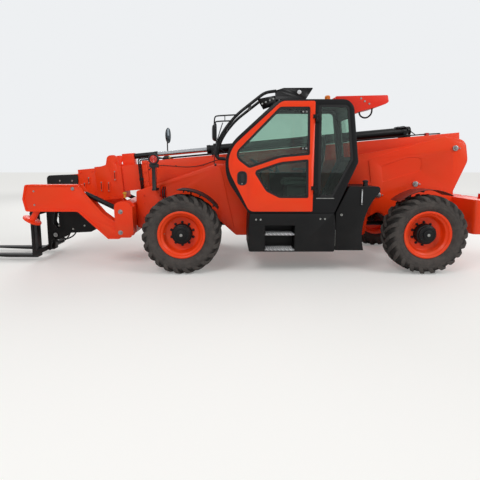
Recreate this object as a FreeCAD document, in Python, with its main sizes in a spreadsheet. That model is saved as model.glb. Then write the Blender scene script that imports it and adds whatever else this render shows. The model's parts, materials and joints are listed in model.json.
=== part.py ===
import FreeCAD, Part
import math
import os
import re

# Telehandler, in millimetres. It faces -X, its cab side is -Y and +Z is up.
# The origin is on the ground. A place "behind" is measured back from the front axle.

os.makedirs("parts", exist_ok=True)
doc = FreeCAD.newDocument("Telehandler")
V = FreeCAD.Vector

SIZES = (
    # running gear
    ("front_axle_x", -515), ("wheelbase", 3600), ("tyre_outer_radius", 587.5),
    ("tyre_width", 405), ("track_half", 997.5), ("rim_seat_radius", 330),
    ("rim_barrel_radius", 285), ("rim_depth", 290), ("hub_radius", 147),
    ("hub_cap_radius", 72), ("hub_face", 150), ("kingpin_y", 760), ("axle_tube_radius", 105),
    ("lug_tall", 30), ("lug_wide", 48), ("lug_lean", 120), ("lug_count", 22), ("bead_gap", 0.5),
    ("rim_lip", 22), ("steer_barrel", 36), ("steer_rod", 18), ("steer_ahead", 140),
    ("pad_rise", 152.5), ("guard_gap", 67.5), ("guard_thick", 8), ("guard_width", 330),
    ("wheel_room", 352.5),
    # frame
    ("frame_half", 360), ("plate_thick", 25), ("skin_thick", 12), ("panel_deep", 8),
    ("pin_cap", 45), ("frame_low", 440), ("nose_half", 600), ("rear_overhang", 1180),
    # boom
    ("pivot_back", 750), ("pivot_height", 1867), ("boom_slope", 5.19), ("pivot_pin", 55),
    ("outer_long", 5110), ("outer_wide", 380), ("outer_tall", 500), ("boom_wall", 10),
    ("second_wide", 320), ("second_tall", 430), ("third_wide", 260), ("third_tall", 360),
    ("tip_wide", 200), ("tip_tall", 290), ("slide_gap", 0.5),
    ("ram_height", 355), ("ram_barrel", 70), ("ram_rod", 40), ("ram_wall", 14),
    ("line_radius", 11), ("cheek_thick", 12),
    # lift cylinder
    ("lift_foot_back", -460), ("lift_foot_height", 1110), ("lift_eye_along", 3364),
    ("lift_eye_drop", 320), ("lift_barrel", 95), ("lift_rod", 50), ("lift_eye_half", 60),
    ("foot_pin", 40),
    # cab
    ("cab_left", -1130), ("cab_right", -380), ("cab_wall", 50), ("cab_floor", 905),
    ("door_gap", 6), ("door_thick", 35), ("handle_deep", 18),
    ("door_hinge_x", 1925), ("door_hinge_y", -1182),
    ("base_left", -1150), ("step_depth", 260), ("step_thick", 25),
    # engine side
    ("pod_outer", 1150), ("pod_front", 820), ("pod_rear_gap", 800), ("pod_low", 450),
    ("tray_tall", 150), ("hood_wall", 25), ("hood_gap", 15), ("hood_hinge_out", 38),
    ("hood_hinge_z", 1516), ("hood_pin", 10), ("slat_wide", 12), ("slat_pitch", 42),
    # stabilisers
    ("stay_y", 700), ("stay_half", 80), ("stay_pin_x", -985), ("stay_pin_z", 560),
    ("stay_ram_x", -975), ("stay_ram_z", 885), ("stay_knee_x", -1700), ("stay_knee_z", 1240),
    ("stay_barrel", 38), ("stay_rod", 20), ("stay_pin", 30),
    # boom head and carriage
    ("head_half", 100), ("head_plate", 20), ("head_reach", 1567.38), ("tilt_pin_z", 400),
    ("tilt_foot_back", 620), ("tilt_foot_z", 640), ("tilt_eye_back", -80), ("tilt_eye_z", 860),
    ("tilt_barrel", 45), ("tilt_rod", 25), ("tilt_pin", 25), ("fork_long", 1250),
    ("fork_thick", 50), ("fork_wide", 130), ("fork_apart", 300), ("carriage_half", 560),
    ("hose_radius", 12),
)

sheet = doc.addObject("Spreadsheet::Sheet", "sizes")
for row, (alias, number) in enumerate(SIZES, 1):
    sheet.set("A%d" % row, alias)
    sheet.set("B%d" % row, str(number))
    sheet.setAlias("B%d" % row, alias)
doc.recompute()
ALIASES = {alias for alias, number in SIZES}
nodes = []


def size(alias):
    return float(getattr(sheet, alias))


def bound(text):
    """An expression in which each alias is read from the sheet."""
    def cell(found):
        word = found.group(0)
        return "sizes." + word if word in ALIASES else word
    return re.sub(r"[a-z][a-z0-9_]*", cell, str(text))


def bind(thing, **wanted):
    for prop, text in wanted.items():
        thing.setExpression(prop, bound(text))


def at(thing, x=None, y=None, z=None):
    for axis, text in (("x", x), ("y", y), ("z", z)):
        if text is not None:
            thing.setExpression(".Placement.Base." + axis, bound(text))


def box(name, x0, x1, y0, y1, z0, z1):
    """A block between two corners, each given as an expression."""
    thing = doc.addObject("Part::Box", name)
    bind(thing, Length="(%s)-(%s)" % (x1, x0), Width="(%s)-(%s)" % (y1, y0),
         Height="(%s)-(%s)" % (z1, z0))
    at(thing, x0, y0, z0)
    return thing


TURNS = {"X": (V(0, 1, 0), 90), "Y": (V(1, 0, 0), -90), "Z": (V(0, 0, 1), 0)}


def rod(name, axis, radius, start, end, x="0", y="0", z="0"):
    """A round bar along one axis, from start to end."""
    thing = doc.addObject("Part::Cylinder", name)
    thing.Placement.Rotation = FreeCAD.Rotation(*TURNS[axis])
    bind(thing, Radius=radius, Height="(%s)-(%s)" % (end, start))
    spots = {"X": (start, y, z), "Y": (x, start, z), "Z": (x, y, start)}[axis]
    at(thing, *spots)
    return thing


def rounded(corners):
    """Lines and arcs through corners of (x, z, radius)."""
    pieces = []
    ends = []
    count = len(corners)
    for n, (x, z, radius) in enumerate(corners):
        here = V(x, z, 0)
        before = V(*corners[n - 1][:2], 0)
        after = V(*corners[(n + 1) % count][:2], 0)
        back = (before - here).normalize()
        on = (after - here).normalize()
        half = back.getAngle(on) / 2
        if radius < 0.5 or half > math.radians(89.7):
            ends.append((here, here))
            continue
        reach = radius / math.tan(half)
        first = here + back * reach
        last = here + on * reach
        centre = here + (back + on).normalize() * (radius / math.sin(half))
        crown = centre + (here - centre).normalize() * radius
        pieces.append(Part.Arc(first, crown, last))
        ends.append((first, last))
    for n in range(count):
        start = ends[n][1]
        end = ends[(n + 1) % count][0]
        if (end - start).Length > 0.01:
            pieces.append(Part.LineSegment(start, end))
    return pieces


def inset(corners, depth):
    """The same outline moved inwards by depth."""
    count = len(corners)
    area = sum(corners[n - 1][0] * corners[n][1] - corners[n][0] * corners[n - 1][1]
               for n in range(count))
    sign = 1 if area > 0 else -1
    lines = []
    for n in range(count):
        a = V(*corners[n - 1][:2], 0)
        b = V(*corners[n][:2], 0)
        along = (b - a).normalize()
        lines.append((a + V(-along.y, along.x, 0) * depth * sign, along))
    moved = []
    for n in range(count):
        (a, u), (b, w) = lines[n], lines[(n + 1) % count]
        cross = u.x * w.y - u.y * w.x
        t = ((b.x - a.x) * w.y - (b.y - a.y) * w.x) / cross
        turn = u.x * w.y - u.y * w.x
        radius = corners[n][2] - depth if turn * sign > 0 else corners[n][2] + depth
        spot = a + u * t
        moved.append((spot.x, spot.y, max(radius, 0) if corners[n][2] else 0))
    return moved


PLANES = {"XZ": (V(1, 0, 0), 90, V(0, 1, 0)), "YZ": (V(1, 1, 1), 120, V(1, 0, 0)),
          "XY": (V(0, 0, 1), 0, V(0, 0, 1))}


def outline(name, corners, plane="XZ"):
    drawing = doc.addObject("Sketcher::SketchObject", name)
    axis, angle, along = PLANES[plane]
    drawing.Placement.Rotation = FreeCAD.Rotation(axis, angle)
    drawing.addGeometry(rounded(corners), False)
    return drawing


def slab(name, corners, start, end, plane="XZ"):
    """A rounded outline pushed out from start to end, across its plane."""
    drawing = outline(name + "_outline", corners, plane)
    across = {"XZ": "y", "YZ": "x", "XY": "z"}[plane]
    drawing.setExpression(".Placement.Base." + across, bound(start))
    thing = doc.addObject("Part::Extrusion", name)
    thing.Base = drawing
    thing.DirMode = "Custom"
    thing.Dir = PLANES[plane][2]
    thing.Solid = True
    bind(thing, LengthFwd="(%s)-(%s)" % (end, start))
    return thing


def fuse(name, things):
    thing = doc.addObject("Part::MultiFuse", name)
    thing.Shapes = things
    return thing


def cut(name, base, tools):
    thing = doc.addObject("Part::Cut", name)
    thing.Base = base
    thing.Tool = tools[0] if len(tools) == 1 else fuse(name + "_tools", tools)
    return thing


def common(name, one, other):
    thing = doc.addObject("Part::MultiCommon", name)
    thing.Shapes = [one, other]
    return thing


def node(label, thing):
    thing.Label = label
    nodes.append(thing)
    return thing


def revolved(name, points):
    """A body turned about its own Y axis, from (radius, y) points."""
    body = doc.addObject("PartDesign::Body", name)
    drawing = body.newObject("Sketcher::SketchObject", name + "_section")
    plane = [f for f in body.Origin.OriginFeatures if f.Role == "XY_Plane"][0]
    drawing.AttachmentSupport = (plane, [""])
    drawing.MapMode = "FlatFace"
    drawing.addGeometry(rounded(points), False)
    turn = body.newObject("PartDesign::Revolution", name + "_turned")
    turn.Profile = drawing
    turn.ReferenceAxis = (drawing, ["V_Axis"])
    turn.Angle = 360
    body.Tip = turn
    return body


FX = size("front_axle_x")
RX = FX + size("wheelbase")
AXLE_Z = size("tyre_outer_radius")
front = "front_axle_x"
rear = "front_axle_x + wheelbase"
rear_end = rear + " + rear_overhang"

# The carriage pin, which the boom head, the tilt cylinder and the forks are measured from
head_pin = rear + " + pivot_back - (outer_long + head_reach) * cos(boom_slope)"
PIN_X = RX + size("pivot_back") - (size("outer_long") + size("head_reach")) * math.cos(
    math.radians(size("boom_slope")))


def from_front(table):
    """Corners of (distance behind the front axle, height, radius) in the machine's frame."""
    return [(FX + x, z, radius) for x, z, radius in table]


def from_rear(table):
    return [(RX + x, z, radius) for x, z, radius in table]


def from_pin(table):
    """Corners of (distance behind the carriage pin, height, radius) in the machine's frame."""
    return [(PIN_X + x, z, radius) for x, z, radius in table]


# Wheels: a carcass with two staggered rows of lugs, on a deep rim with its planetary hub

def carcass_section():
    outer = size("tyre_outer_radius") - size("lug_tall")
    seat = size("rim_seat_radius")
    half = size("tyre_width") / 2
    bead = size("rim_depth") / 2 - size("bead_gap")
    return [(seat, -bead, 0), (seat, bead, 0), (seat + 30, bead, 0), (seat + 70, half - 1, 60),
            (outer - 55, half - 9, 0), (outer, half - 60, 0), (outer, 60 - half, 0),
            (outer - 55, 9 - half, 0), (seat + 70, 1 - half, 60), (seat + 30, -bead, 0)]


def rim_section():
    seat = size("rim_seat_radius") - 0.3
    barrel = size("rim_barrel_radius")
    bead = size("rim_depth") / 2
    hub = size("hub_radius")
    face = size("hub_face")
    cap = size("hub_cap_radius")
    lip = seat + size("rim_lip")
    return [(0, face + 25, 0), (cap, face + 25, 0), (cap, face, 0), (hub - 22, face, 0),
            (hub, face - 40, 0), (hub, 0, 0), (barrel - 10, 0, 30), (barrel - 10, bead - 30, 0),
            (seat - 18, bead + 12, 0), (lip, bead + 15, 0), (lip, bead, 0),
            (seat, bead, 0), (seat, bead - 12, 0), (barrel + 14, bead - 60, 0),
            (barrel + 14, 40 - bead, 0), (seat, 12 - bead, 0), (seat, -bead, 0), (lip, -bead, 0),
            (lip, -bead - 15, 0), (seat - 18, -bead - 12, 0), (barrel - 6, 30 - bead, 0),
            (barrel - 6, -18, 0), (hub + 20, -18, 0), (hub + 20, -60, 0), (0, -60, 0)]


def lug(number, side):
    """A bar that leans back from the middle of the tread and wraps over one shoulder."""
    outer = "tyre_outer_radius"
    middle = ("-lug_wide / 2", "lug_wide / 2", outer + " - lug_tall - 20",
              "sqrt(%s^2 - (lug_wide / 2)^2)" % outer)
    shoulder = ("lug_lean - lug_wide * 0.7", "lug_lean + lug_wide * 0.7", outer + " - 100",
                "sqrt((%s - 6)^2 - (lug_lean + lug_wide * 0.7)^2)" % outer)
    if side > 0:
        near, far = middle, shoulder
        ends = ("2", "tyre_width / 2")
    else:
        near, far = shoulder, middle
        ends = ("-tyre_width / 2", "-2")
    bar = doc.addObject("Part::Wedge", "lug")
    bind(bar, Xmin=near[0], Xmax=near[1], Zmin=near[2], Zmax=near[3], X2min=far[0], X2max=far[1],
         Z2min=far[2], Z2max=far[3], Ymin=ends[0], Ymax=ends[1])
    turn = 360 * (number + 0.25 * side) / size("lug_count")
    bar.Placement.Rotation = FreeCAD.Rotation(V(0, 1, 0), turn)
    return bar


bars = [lug(n, side) for side in (-1, 1) for n in range(int(size("lug_count")))]
tyre = fuse("tyre_parts", [revolved("carcass", carcass_section())] + bars)
# Joining the faces that lie on one surface would spoil this solid
tyre.Refine = False
rim = revolved("rim_turned", rim_section())

CORNERS = (("front_left", front, -1), ("front_right", front, 1),
           ("rear_left", rear, -1), ("rear_right", rear, 1))

for place, axle, side in CORNERS:
    for label, source, turn in (("tyre_", tyre, 0), ("rim_", rim, 0 if side > 0 else 180)):
        wheel = doc.addObject("Part::Compound", label + place + "_placed")
        wheel.Links = [source]
        wheel.Placement.Rotation = FreeCAD.Rotation(V(0, 0, 1), turn)
        at(wheel, axle, "%d * track_half" % side, "tyre_outer_radius")
        node(label + place, wheel)


def behind(number):
    """An expression for a distance behind the front axle."""
    return "front_axle_x + (%s)" % number


def bent(name, spots, radius):
    """A round tube whose middle runs straight between bends near these points."""
    edges = []
    start = spots[0]
    for n in range(1, len(spots) - 1):
        back = spots[n - 1] - spots[n]
        on = spots[n + 1] - spots[n]
        half = back.getAngle(on) / 2
        reach = min(0.45 * min(back.Length, on.Length), radius * 6)
        back.normalize()
        on.normalize()
        first = spots[n] + back * reach
        last = spots[n] + on * reach
        centre = spots[n] + (back + on).normalize() * (reach / math.cos(half))
        crown = centre + (spots[n] - centre).normalize() * (reach * math.tan(half))
        edges += [Part.LineSegment(start, first).toShape(), Part.Arc(first, crown, last).toShape()]
        start = last
    edges.append(Part.LineSegment(start, spots[-1]).toShape())
    ring = Part.Wire(Part.Circle(spots[0], spots[1] - spots[0], radius).toShape())
    thing = doc.addObject("Part::Feature", name)
    thing.Shape = Part.Wire(edges).makePipeShell([ring], True, False)
    return thing


def pipe(name, points, radius):
    """A bent tube through points of (distance behind the front axle, y, z)."""
    return bent(name, [V(FX + x, y, z) for x, y, z in points], radius)


# Axles and steering knuckles

for place, axle in (("front", front), ("rear", rear)):
    z = "tyre_outer_radius"
    parts = [rod(place + "_beam", "Y", "axle_tube_radius", "-650", "650", axle, z=z),
             rod(place + "_gear_case", "X", "150", axle + " - 170", axle + " + 170", z=z)]
    ahead = -1 if place == "front" else 1
    steer_x = "%s + %d * steer_ahead" % (axle, ahead)
    parts.append(rod(place + "_steer_barrel", "Y", "steer_barrel", "-260", "260", steer_x, z=z))
    parts.append(rod(place + "_steer_rod", "Y", "steer_rod", "-640", "640", steer_x, z=z))
    for side in (-1, 1):
        low, high = sorted((side * 600, side * 640))
        first, last = sorted((ahead * 80, ahead * 165))
        parts.append(box(place + "_steer_end", "%s + %d" % (axle, first), "%s + %d" % (axle, last),
                         low, high, z + " - 30", z + " + 30"))
        low, high = sorted((side * 640, side * 665))
        parts.append(box(place + "_end", axle + " - 90", axle + " + 90", low, high,
                         z + " - 130", z + " + 130"))
        low, high = sorted((side * 665, side * 825))
        for level in (-130, 100):
            parts.append(box(place + "_ear", axle + " - 50", axle + " + 50", low, high,
                             "%s + %d" % (z, level), "%s + %d" % (z, level + 30)))
        low, high = sorted((side * 210, side * 330))
        parts.append(box(place + "_pad", axle + " - 60", axle + " + 60", low, high,
                         z + " + 60", z + " + pad_rise"))
    node(place + "_axle", fuse(place + "_axle_parts", parts))

for place, axle, side in CORNERS:
    z = "tyre_outer_radius"
    pin = "%d * kingpin_y" % side
    hub = "%d * (track_half - 60.5)" % side
    ends = (pin, hub) if side > 0 else (hub, pin)
    lean = 1 if axle == front else -1
    first, last = sorted((lean * 60, lean * 120))
    parts = [rod(place + "_pivot", "Z", "75", z + " - 99.5", z + " + 99.5", axle, pin),
             rod(place + "_spindle", "Y", "70", ends[0], ends[1], axle, z=z),
             box(place + "_arm", "%s + %d" % (axle, first), "%s + %d" % (axle, last),
                 pin + " - 15", pin + " + 15", z + " - 40", z + " + 40")]
    bar_first, bar_last = sorted((lean * 100, lean * 120))
    guard_in = "(tyre_outer_radius + guard_gap)"
    reach = "sqrt(%s^2 - 110^2)" % guard_in
    parts.append(box(place + "_strut", "%s + %d" % (axle, bar_first), "%s + %d" % (axle, bar_last),
                     pin + " - 12", pin + " + 12", z + " - 40", "%s + %s" % (z, reach)))
    wheel_y = "%d * track_half" % side
    edge = "%s + %d * guard_width / 2" % (wheel_y, side)
    low, high = (pin + " - 12", edge) if side > 0 else (edge, pin + " + 12")
    parts.append(box(place + "_bar", "%s + %d" % (axle, bar_first), "%s + %d" % (axle, bar_last),
                     low, high, "%s + %s - 20" % (z, reach), "%s + %s" % (z, reach)))
    inner = rod(place + "_guard_inside", "Y", guard_in, wheel_y + " - guard_width",
                wheel_y + " + guard_width", axle, z=z)
    outer = rod(place + "_guard_outside", "Y", guard_in + " + guard_thick",
                wheel_y + " - guard_width / 2", wheel_y + " + guard_width / 2", axle, z=z)
    spread = (95, 35) if lean > 0 else (132, 60)
    centre_x = FX if lean > 0 else RX
    fan = [(centre_x, AXLE_Z, 0)]
    for angle in (spread[0], sum(spread) / 2, spread[1]):
        fan.append((centre_x + 900 * math.cos(math.radians(angle)),
                    AXLE_Z + 900 * math.sin(math.radians(angle)), 0))
    wedge = slab(place + "_guard_wedge", fan, wheel_y + " - guard_width",
                 wheel_y + " + guard_width")
    ring = cut(place + "_guard_ring", outer, [inner])
    parts.append(common(place + "_guard", ring, wedge))
    node("knuckle_" + place, fuse(place + "_knuckle_parts", parts))

# Frame: two side plates with a long channel between them

back = size("pivot_back")
pivot_x = size("wheelbase") + back
pivot_z = size("pivot_height")
PLATE = from_front((
    (-830, 560, 60), (-830, 1175, 40), (-755, 1197, 20), (-260, 1365, 200), (490, 1622, 200),
    (2400, 1680, 600))) + from_rear((
        (116, 1936, 200), (back - 170, pivot_z + 190, 120), (back + 170, pivot_z + 130, 150),
        (back + 230, pivot_z - 200, 200), (780, 1180, 60), (780, 740, 40), (-300, 740, 60),
        (-450, 830, 90), (-610, 740, 40), (-640, 440, 60))) + from_front((
            (811, 440, 60), (480, 740, 60), (-560, 740, 60), (-640, 560, 40)))
FRONT_SKIN = from_front((
    (-815, 575, 50), (-815, 1165, 30), (-750, 1183, 20), (-262, 1350, 190), (480, 1603, 110),
    (560, 1560, 60), (800, 470, 40), (500, 755, 60), (-570, 755, 60), (-655, 575, 40)))
REAR_SKIN = from_rear((
    (-640, 1690, 40), (108, 1918, 200), (back - 165, pivot_z + 172, 110),
    (back + 160, pivot_z + 115, 140), (back + 215, pivot_z - 200, 190), (765, 1190, 50),
    (765, 755, 30), (-295, 755, 60), (-450, 845, 90), (-600, 770, 30), (-650, 1250, 40),
    (-585, 1330, 40)))
SLOT = from_front(((-432, 1060, 20), (-432, 1270, 40), (-340, 1270, 40), (-340, 1060, 20)))
PANEL = from_rear(((-425, 1575, 20), (-8, 1722, 60), (170, 1722, 60), (222, 1680, 40),
                   (222, 1520, 40), (175, 1492, 30), (-395, 1325, 20)))
CAPS = ((rear + " + lift_foot_back", "lift_foot_height"), (rear + " + 140", "1290"),
        (rear + " + pivot_back", "pivot_height"))
for label, side in (("chassis_side_left", -1), ("chassis_side_right", 1)):
    def across(near, far):
        """Two distances out from the middle, as y from low to high."""
        ends = ("%d * (%s)" % (side, near), "%d * (%s)" % (side, far))
        return ends if side > 0 else ends[::-1]

    skin = "frame_half + skin_thick"
    layers = [slab(label + "_plate", PLATE, *across("frame_half - plate_thick", "frame_half"))]
    for name, corners in (("front_skin", FRONT_SKIN), ("rear_skin", REAR_SKIN)):
        layers.append(slab(label + "_" + name, corners, *across("frame_half", skin)))
    knobs = [cut(label + "_shaped", fuse(label + "_layers", layers), [
        slab(label + "_slot", SLOT, *across("frame_half - 60", "frame_half + 60")),
        slab(label + "_panel", PANEL, *across(skin + " - panel_deep", skin + " + 5"))])]
    for x, z in CAPS:
        ends = across(skin, skin + " + 22")
        knobs.append(rod(label + "_cap", "Y", "pin_cap", ends[0], ends[1], x, z=z))
    node(label, fuse(label + "_parts", knobs))

inner_low = "plate_thick - frame_half"
inner_high = "frame_half - plate_thick"
PIVOT = ("front_axle_x + wheelbase + pivot_back", "pivot_height")
crossings = [
    box("belly", behind(830), rear + " - 660", inner_low, inner_high, "frame_low", "frame_low + 20"),
    box("front_cradle", behind(-200), behind(200), inner_low, inner_high,
        "tyre_outer_radius + pad_rise", "860"),
    box("rear_cradle", rear + " - 200", rear + " + 200", inner_low, inner_high,
        "tyre_outer_radius + pad_rise", "860"),
    box("tail_cross", rear + " + 680", rear + " + 780", inner_low, inner_high, "760", "1380"),
    box("nose_cross", behind(-1060), behind(-830), "-nose_half", "nose_half", "500", "1000"),
    rod("pivot_pin", "Y", "pivot_pin", inner_low, inner_high, PIVOT[0], z=PIVOT[1]),
    rod("lift_foot_pin", "Y", "foot_pin", inner_low, inner_high, rear + " + lift_foot_back",
        z="lift_foot_height"),
]
HOOD_HINGES = ("front_axle_x + pod_front + 200", rear + " - pod_rear_gap - 260")
hinge_y = "frame_half + hood_hinge_out"
EARS = from_front(((-1060, 480, 60), (-1075, 1040, 90), (-800, 1040, 120), (-780, 560, 60),
                   (-830, 480, 40)))
for side in (-1, 1):
    for n, (near, far) in enumerate((("-stay_half - 20", "-stay_half - 5"),
                                     ("stay_half + 5", "stay_half + 20"))):
        middle = "%d * stay_y" % side
        crossings.append(slab("stay_ear_%d_%d" % (side + 1, n), EARS,
                              "%s + %s" % (middle, near), "%s + %s" % (middle, far)))
    for x, z in (("stay_pin_x", "stay_pin_z"), ("stay_ram_x", "stay_ram_z")):
        crossings.append(rod("stay_pin", "Y", "stay_pin", "%s - stay_half - 20" % middle,
                             "%s + stay_half + 20" % middle, "front_axle_x + " + x, z=z))
    crossings.append(box("stay_web", behind(-850), behind(-790), "%s - stay_half - 20" % middle,
                         "%s + stay_half + 20" % middle, "560", "960"))
for x in HOOD_HINGES:
    crossings.append(box("hood_bracket", x + " - 25", x, "frame_half", hinge_y + " + 9",
                         "hood_hinge_z - 9", "hood_hinge_z + 9"))
    crossings.append(rod("hood_pin", "X", "hood_pin", x, x + " + 60", y=hinge_y, z="hood_hinge_z"))
node("chassis_cross", fuse("chassis_cross_parts", crossings))

TAIL = RX + size("rear_overhang")
WEIGHT = ((RX + 780, -950, 60), (RX + 1000, -950, 150), (TAIL, -780, 160),
          (TAIL, 780, 160), (RX + 1000, 950, 150), (RX + 780, 950, 60))
UNDERCUT = ((RX + 900, 540, 0), (TAIL + 20, 540, 0), (TAIL + 20, 720, 0), (TAIL - 40, 700, 60))
node("counterweight", cut("counterweight_notched", slab("counterweight_block", WEIGHT, "560", "1080",
                                                        "XY"), [
    slab("counterweight_undercut_left", UNDERCUT, "-1000", "-300"),
    slab("counterweight_undercut_right", UNDERCUT, "300", "1000"),
    box("hitch_notch", rear_end + " - 120", rear_end + " + 10", "-60", "60", "550", "1090")]))
node("tow_hitch", cut("tow_hitch_bored", fuse("tow_hitch_parts", [
    box("hitch_top", rear_end + " - 200", rear_end + " - 20", "-80", "80", "530", "559.9"),
    box("hitch_low", rear_end + " - 200", rear_end + " - 20", "-80", "80", "430", "460"),
    box("hitch_web", rear_end + " - 200", rear_end + " - 160", "-80", "80", "440", "550")]), [
        rod("hitch_bore", "Z", "20", "420", "570", rear_end + " - 70")]))

# Boom: four sections, drawn along their own slope and then laid on it

boom_place = FreeCAD.Placement(V(FX + pivot_x, 0, pivot_z),
                               FreeCAD.Rotation(V(0, 1, 0), -size("boom_slope")))


def laid(thing):
    thing.Placement = boom_place
    return thing


def tube(name, wide, tall, ahead, aft, extra, wall="boom_wall"):
    shell = [box(name + "_outside", ahead, aft, "-%s/2" % wide, "%s/2" % wide,
                 "-%s/2" % tall, "%s/2" % tall)] + extra
    hollow = box(name + "_inside", ahead + " - 10", aft + " + 10",
                 "%s - %s/2" % (wall, wide), "%s/2 - %s" % (wide, wall),
                 "%s - %s/2" % (wall, tall), "%s/2 - %s" % (tall, wall))
    return cut(name + "_tube", fuse(name + "_shell", shell) if extra else shell[0], [hollow])


SECTIONS = (
    # name, wide, tall, front end, rear end, collar from, half width, low, high
    ("outer", "outer_wide", "outer_tall", "-outer_long", "180", "-outer_long + 90", "210", "-270",
     "262"),
    ("second", "second_wide", "second_tall", "-outer_long - 800", "-700", "-outer_long - 360",
     "200", "-330", "232"),
    ("third", "third_wide", "third_tall", "-outer_long - 1095", "-900", "-outer_long - 810",
     "170", "-250", "212"),
    ("tip", "tip_wide", "tip_tall", "-outer_long - 1610", "-1100", "", "", "", ""),
)
sections = {}
for n, (name, wide, tall, ahead, aft, collar, half, low, high) in enumerate(SECTIONS):
    extra = []
    if collar:
        extra.append(box(name + "_collar", ahead, collar, "-" + half, half, low, high))
    if name == "outer":
        extra.append(rod("pivot_boss", "Y", "120", "10 - frame_half + plate_thick",
                         "frame_half - plate_thick - 10"))
    whole = [tube(name, wide, tall, ahead, aft, extra)]
    if n < 3:
        inner_wide, inner_tall = SECTIONS[n + 1][1:3]
        for side in (-1, 1):
            near, far = ("%s/2 + slide_gap" % inner_tall, "%s/2 - boom_wall" % tall)
            ends = (near, far) if side > 0 else ("-(%s)" % far, "-(%s)" % near)
            whole.append(box(name + "_flat_pad", ahead, ahead + " + 150", "-80", "80", *ends))
            near, far = ("%s/2 + slide_gap" % inner_wide, "%s/2 - boom_wall" % wide)
            ends = (near, far) if side > 0 else ("-(%s)" % far, "-(%s)" % near)
            whole.append(box(name + "_side_pad", ahead, ahead + " + 150", *ends, "-80", "80"))
    if n > 0:
        outer_wide, outer_tall = SECTIONS[n - 1][1:3]
        for side in (-1, 1):
            near, far = ("%s/2" % tall, "%s/2 - boom_wall - slide_gap" % outer_tall)
            ends = (near, far) if side > 0 else ("-(%s)" % far, "-(%s)" % near)
            whole.append(box(name + "_flat_shoe", aft + " - 150", aft, "-80", "80", *ends))
            near, far = ("%s/2" % wide, "%s/2 - boom_wall - slide_gap" % outer_wide)
            ends = (near, far) if side > 0 else ("-(%s)" % far, "-(%s)" % near)
            whole.append(box(name + "_side_shoe", aft + " - 150", aft, *ends, "-80", "80"))
    sections[name] = whole

# Cheek plates on two collars: distances from the outer section's mouth, heights from the middle
CHEEKS = {
    "second": (200, ((-800, -330, 4), (-800, 150, 60), (-690, 232, 40), (-600, 250, 30),
                     (-560, 400, 70), (-400, 400, 70), (-380, 232, 30), (-360, 150, 20),
                     (-360, -330, 4))),
    "third": (170, ((-1095, -250, 4), (-1095, 212, 80), (-810, 212, 10), (-810, -250, 4))),
}
for name, (half, corners) in CHEEKS.items():
    moved = [(x - size("outer_long"), z, radius) for x, z, radius in corners]
    for side in (-1, 1):
        ends = ("%d" % half, "%d + cheek_thick" % half)
        if side < 0:
            ends = ("-%d - cheek_thick" % half, "-%d" % half)
        cheek = slab(name + "_cheek_%d" % (side + 1), moved, *ends)
        if name == "second":
            cheek = cut("cheek_bored_%d" % (side + 1), cheek, [
                rod("cheek_bore", "Y", "22", side * 206 - 20, side * 206 + 20,
                    "-outer_long - 425", z="265")])
        sections[name].append(cheek)
for side in (-1, 1):
    low, high = sorted((side * 72, side * 97))
    sections["outer"].append(cut("lift_ear_%d" % (side + 1), fuse("lift_ear_plate_%d" % (side + 1), [
        box("lift_ear_block", "-lift_eye_along - 130", "-lift_eye_along + 130", low, high,
            "-outer_tall/2 - 20", "5 - outer_tall/2"),
        rod("lift_ear_round", "Y", "75", low, high, "-lift_eye_along", z="-lift_eye_drop")]),
        [rod("lift_ear_bore", "Y", "32", low - 1, high + 1, "-lift_eye_along", z="-lift_eye_drop")]))
outer_tube = fuse("outer_parts", sections["outer"])
node("boom_outer", laid(cut("outer_bored", outer_tube, [
    rod("pivot_bore", "Y", "pivot_pin + 0.5", "-400", "400")])))
clamps = []
for x in ("-650", "-2275", "-3900"):
    clamps.append(box("ram_clamp", x + " - 40", x + " + 40", "-150", "150", "outer_tall/2",
                      "outer_tall/2 + 45"))
    clamps.append(box("ram_saddle", x + " - 40", x + " + 40", "-80", "80", "outer_tall/2 + 40",
                      "ram_height"))
for y in (-135, -105, 105, 135):
    clamps.append(rod("oil_line", "X", "line_radius", "-4700", "-600", y=y,
                      z="outer_tall/2 + 25"))
ram_low = "-4000"
ram_high = "-560"

# Two hoses drop from the oil lines down the mouth of the outer section, held by a clip
mouth = -size("outer_long")
line_z = size("outer_tall") / 2 + 25
HOSES = (
    ((410, -135, 0), (170, -135, 0), (37, -195, 0), (-30, -195, 0), (-30, -195, -505)),
    ((410, -105, 0), (330, -105, 0), (250, -125, 28), (42, -195, 28), (-58, -195, 28),
     (-58, -195, -525)),
)
hoses = [box("hose_clip", "-outer_long - 73", "-outer_long - 0.2", "-209", "-181", "-60", "-20")]
for spots in HOSES:
    hoses.append(bent("boom_hose", [V(mouth + x, y, line_z + z) for x, y, z in spots],
                      size("line_radius")))
node("extension_barrel", laid(cut("extension_barrel_bored", fuse("extension_barrel_parts",
    clamps + hoses + [rod("ram_outside", "X", "ram_barrel", ram_low, ram_high, z="ram_height")]),
    [rod("ram_inside", "X", "ram_barrel - ram_wall", ram_low + " + 60", ram_high + " - 30",
         z="ram_height"),
     rod("ram_mouth", "X", "ram_rod + 0.5", ram_low + " - 10", ram_low + " + 70", z="ram_height")])))
node("extension_rod", laid(fuse("extension_rod_parts", [
    rod("ram_rod", "X", "ram_rod", "-outer_long - 180", "-700", z="ram_height"),
    rod("ram_piston", "X", "ram_barrel - ram_wall - 0.5", "-780", "-700", z="ram_height"),
    box("ram_bracket", "-outer_long - 350", "-outer_long - 150", "-80", "80", "second_tall/2",
        "ram_height + 55")])))
node("boom_second", laid(fuse("second_parts", sections["second"])))
node("boom_third", laid(fuse("third_parts", sections["third"])))
node("boom_tip", laid(fuse("tip_parts", sections["tip"])))

# Boom head, carriage and forks

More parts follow.
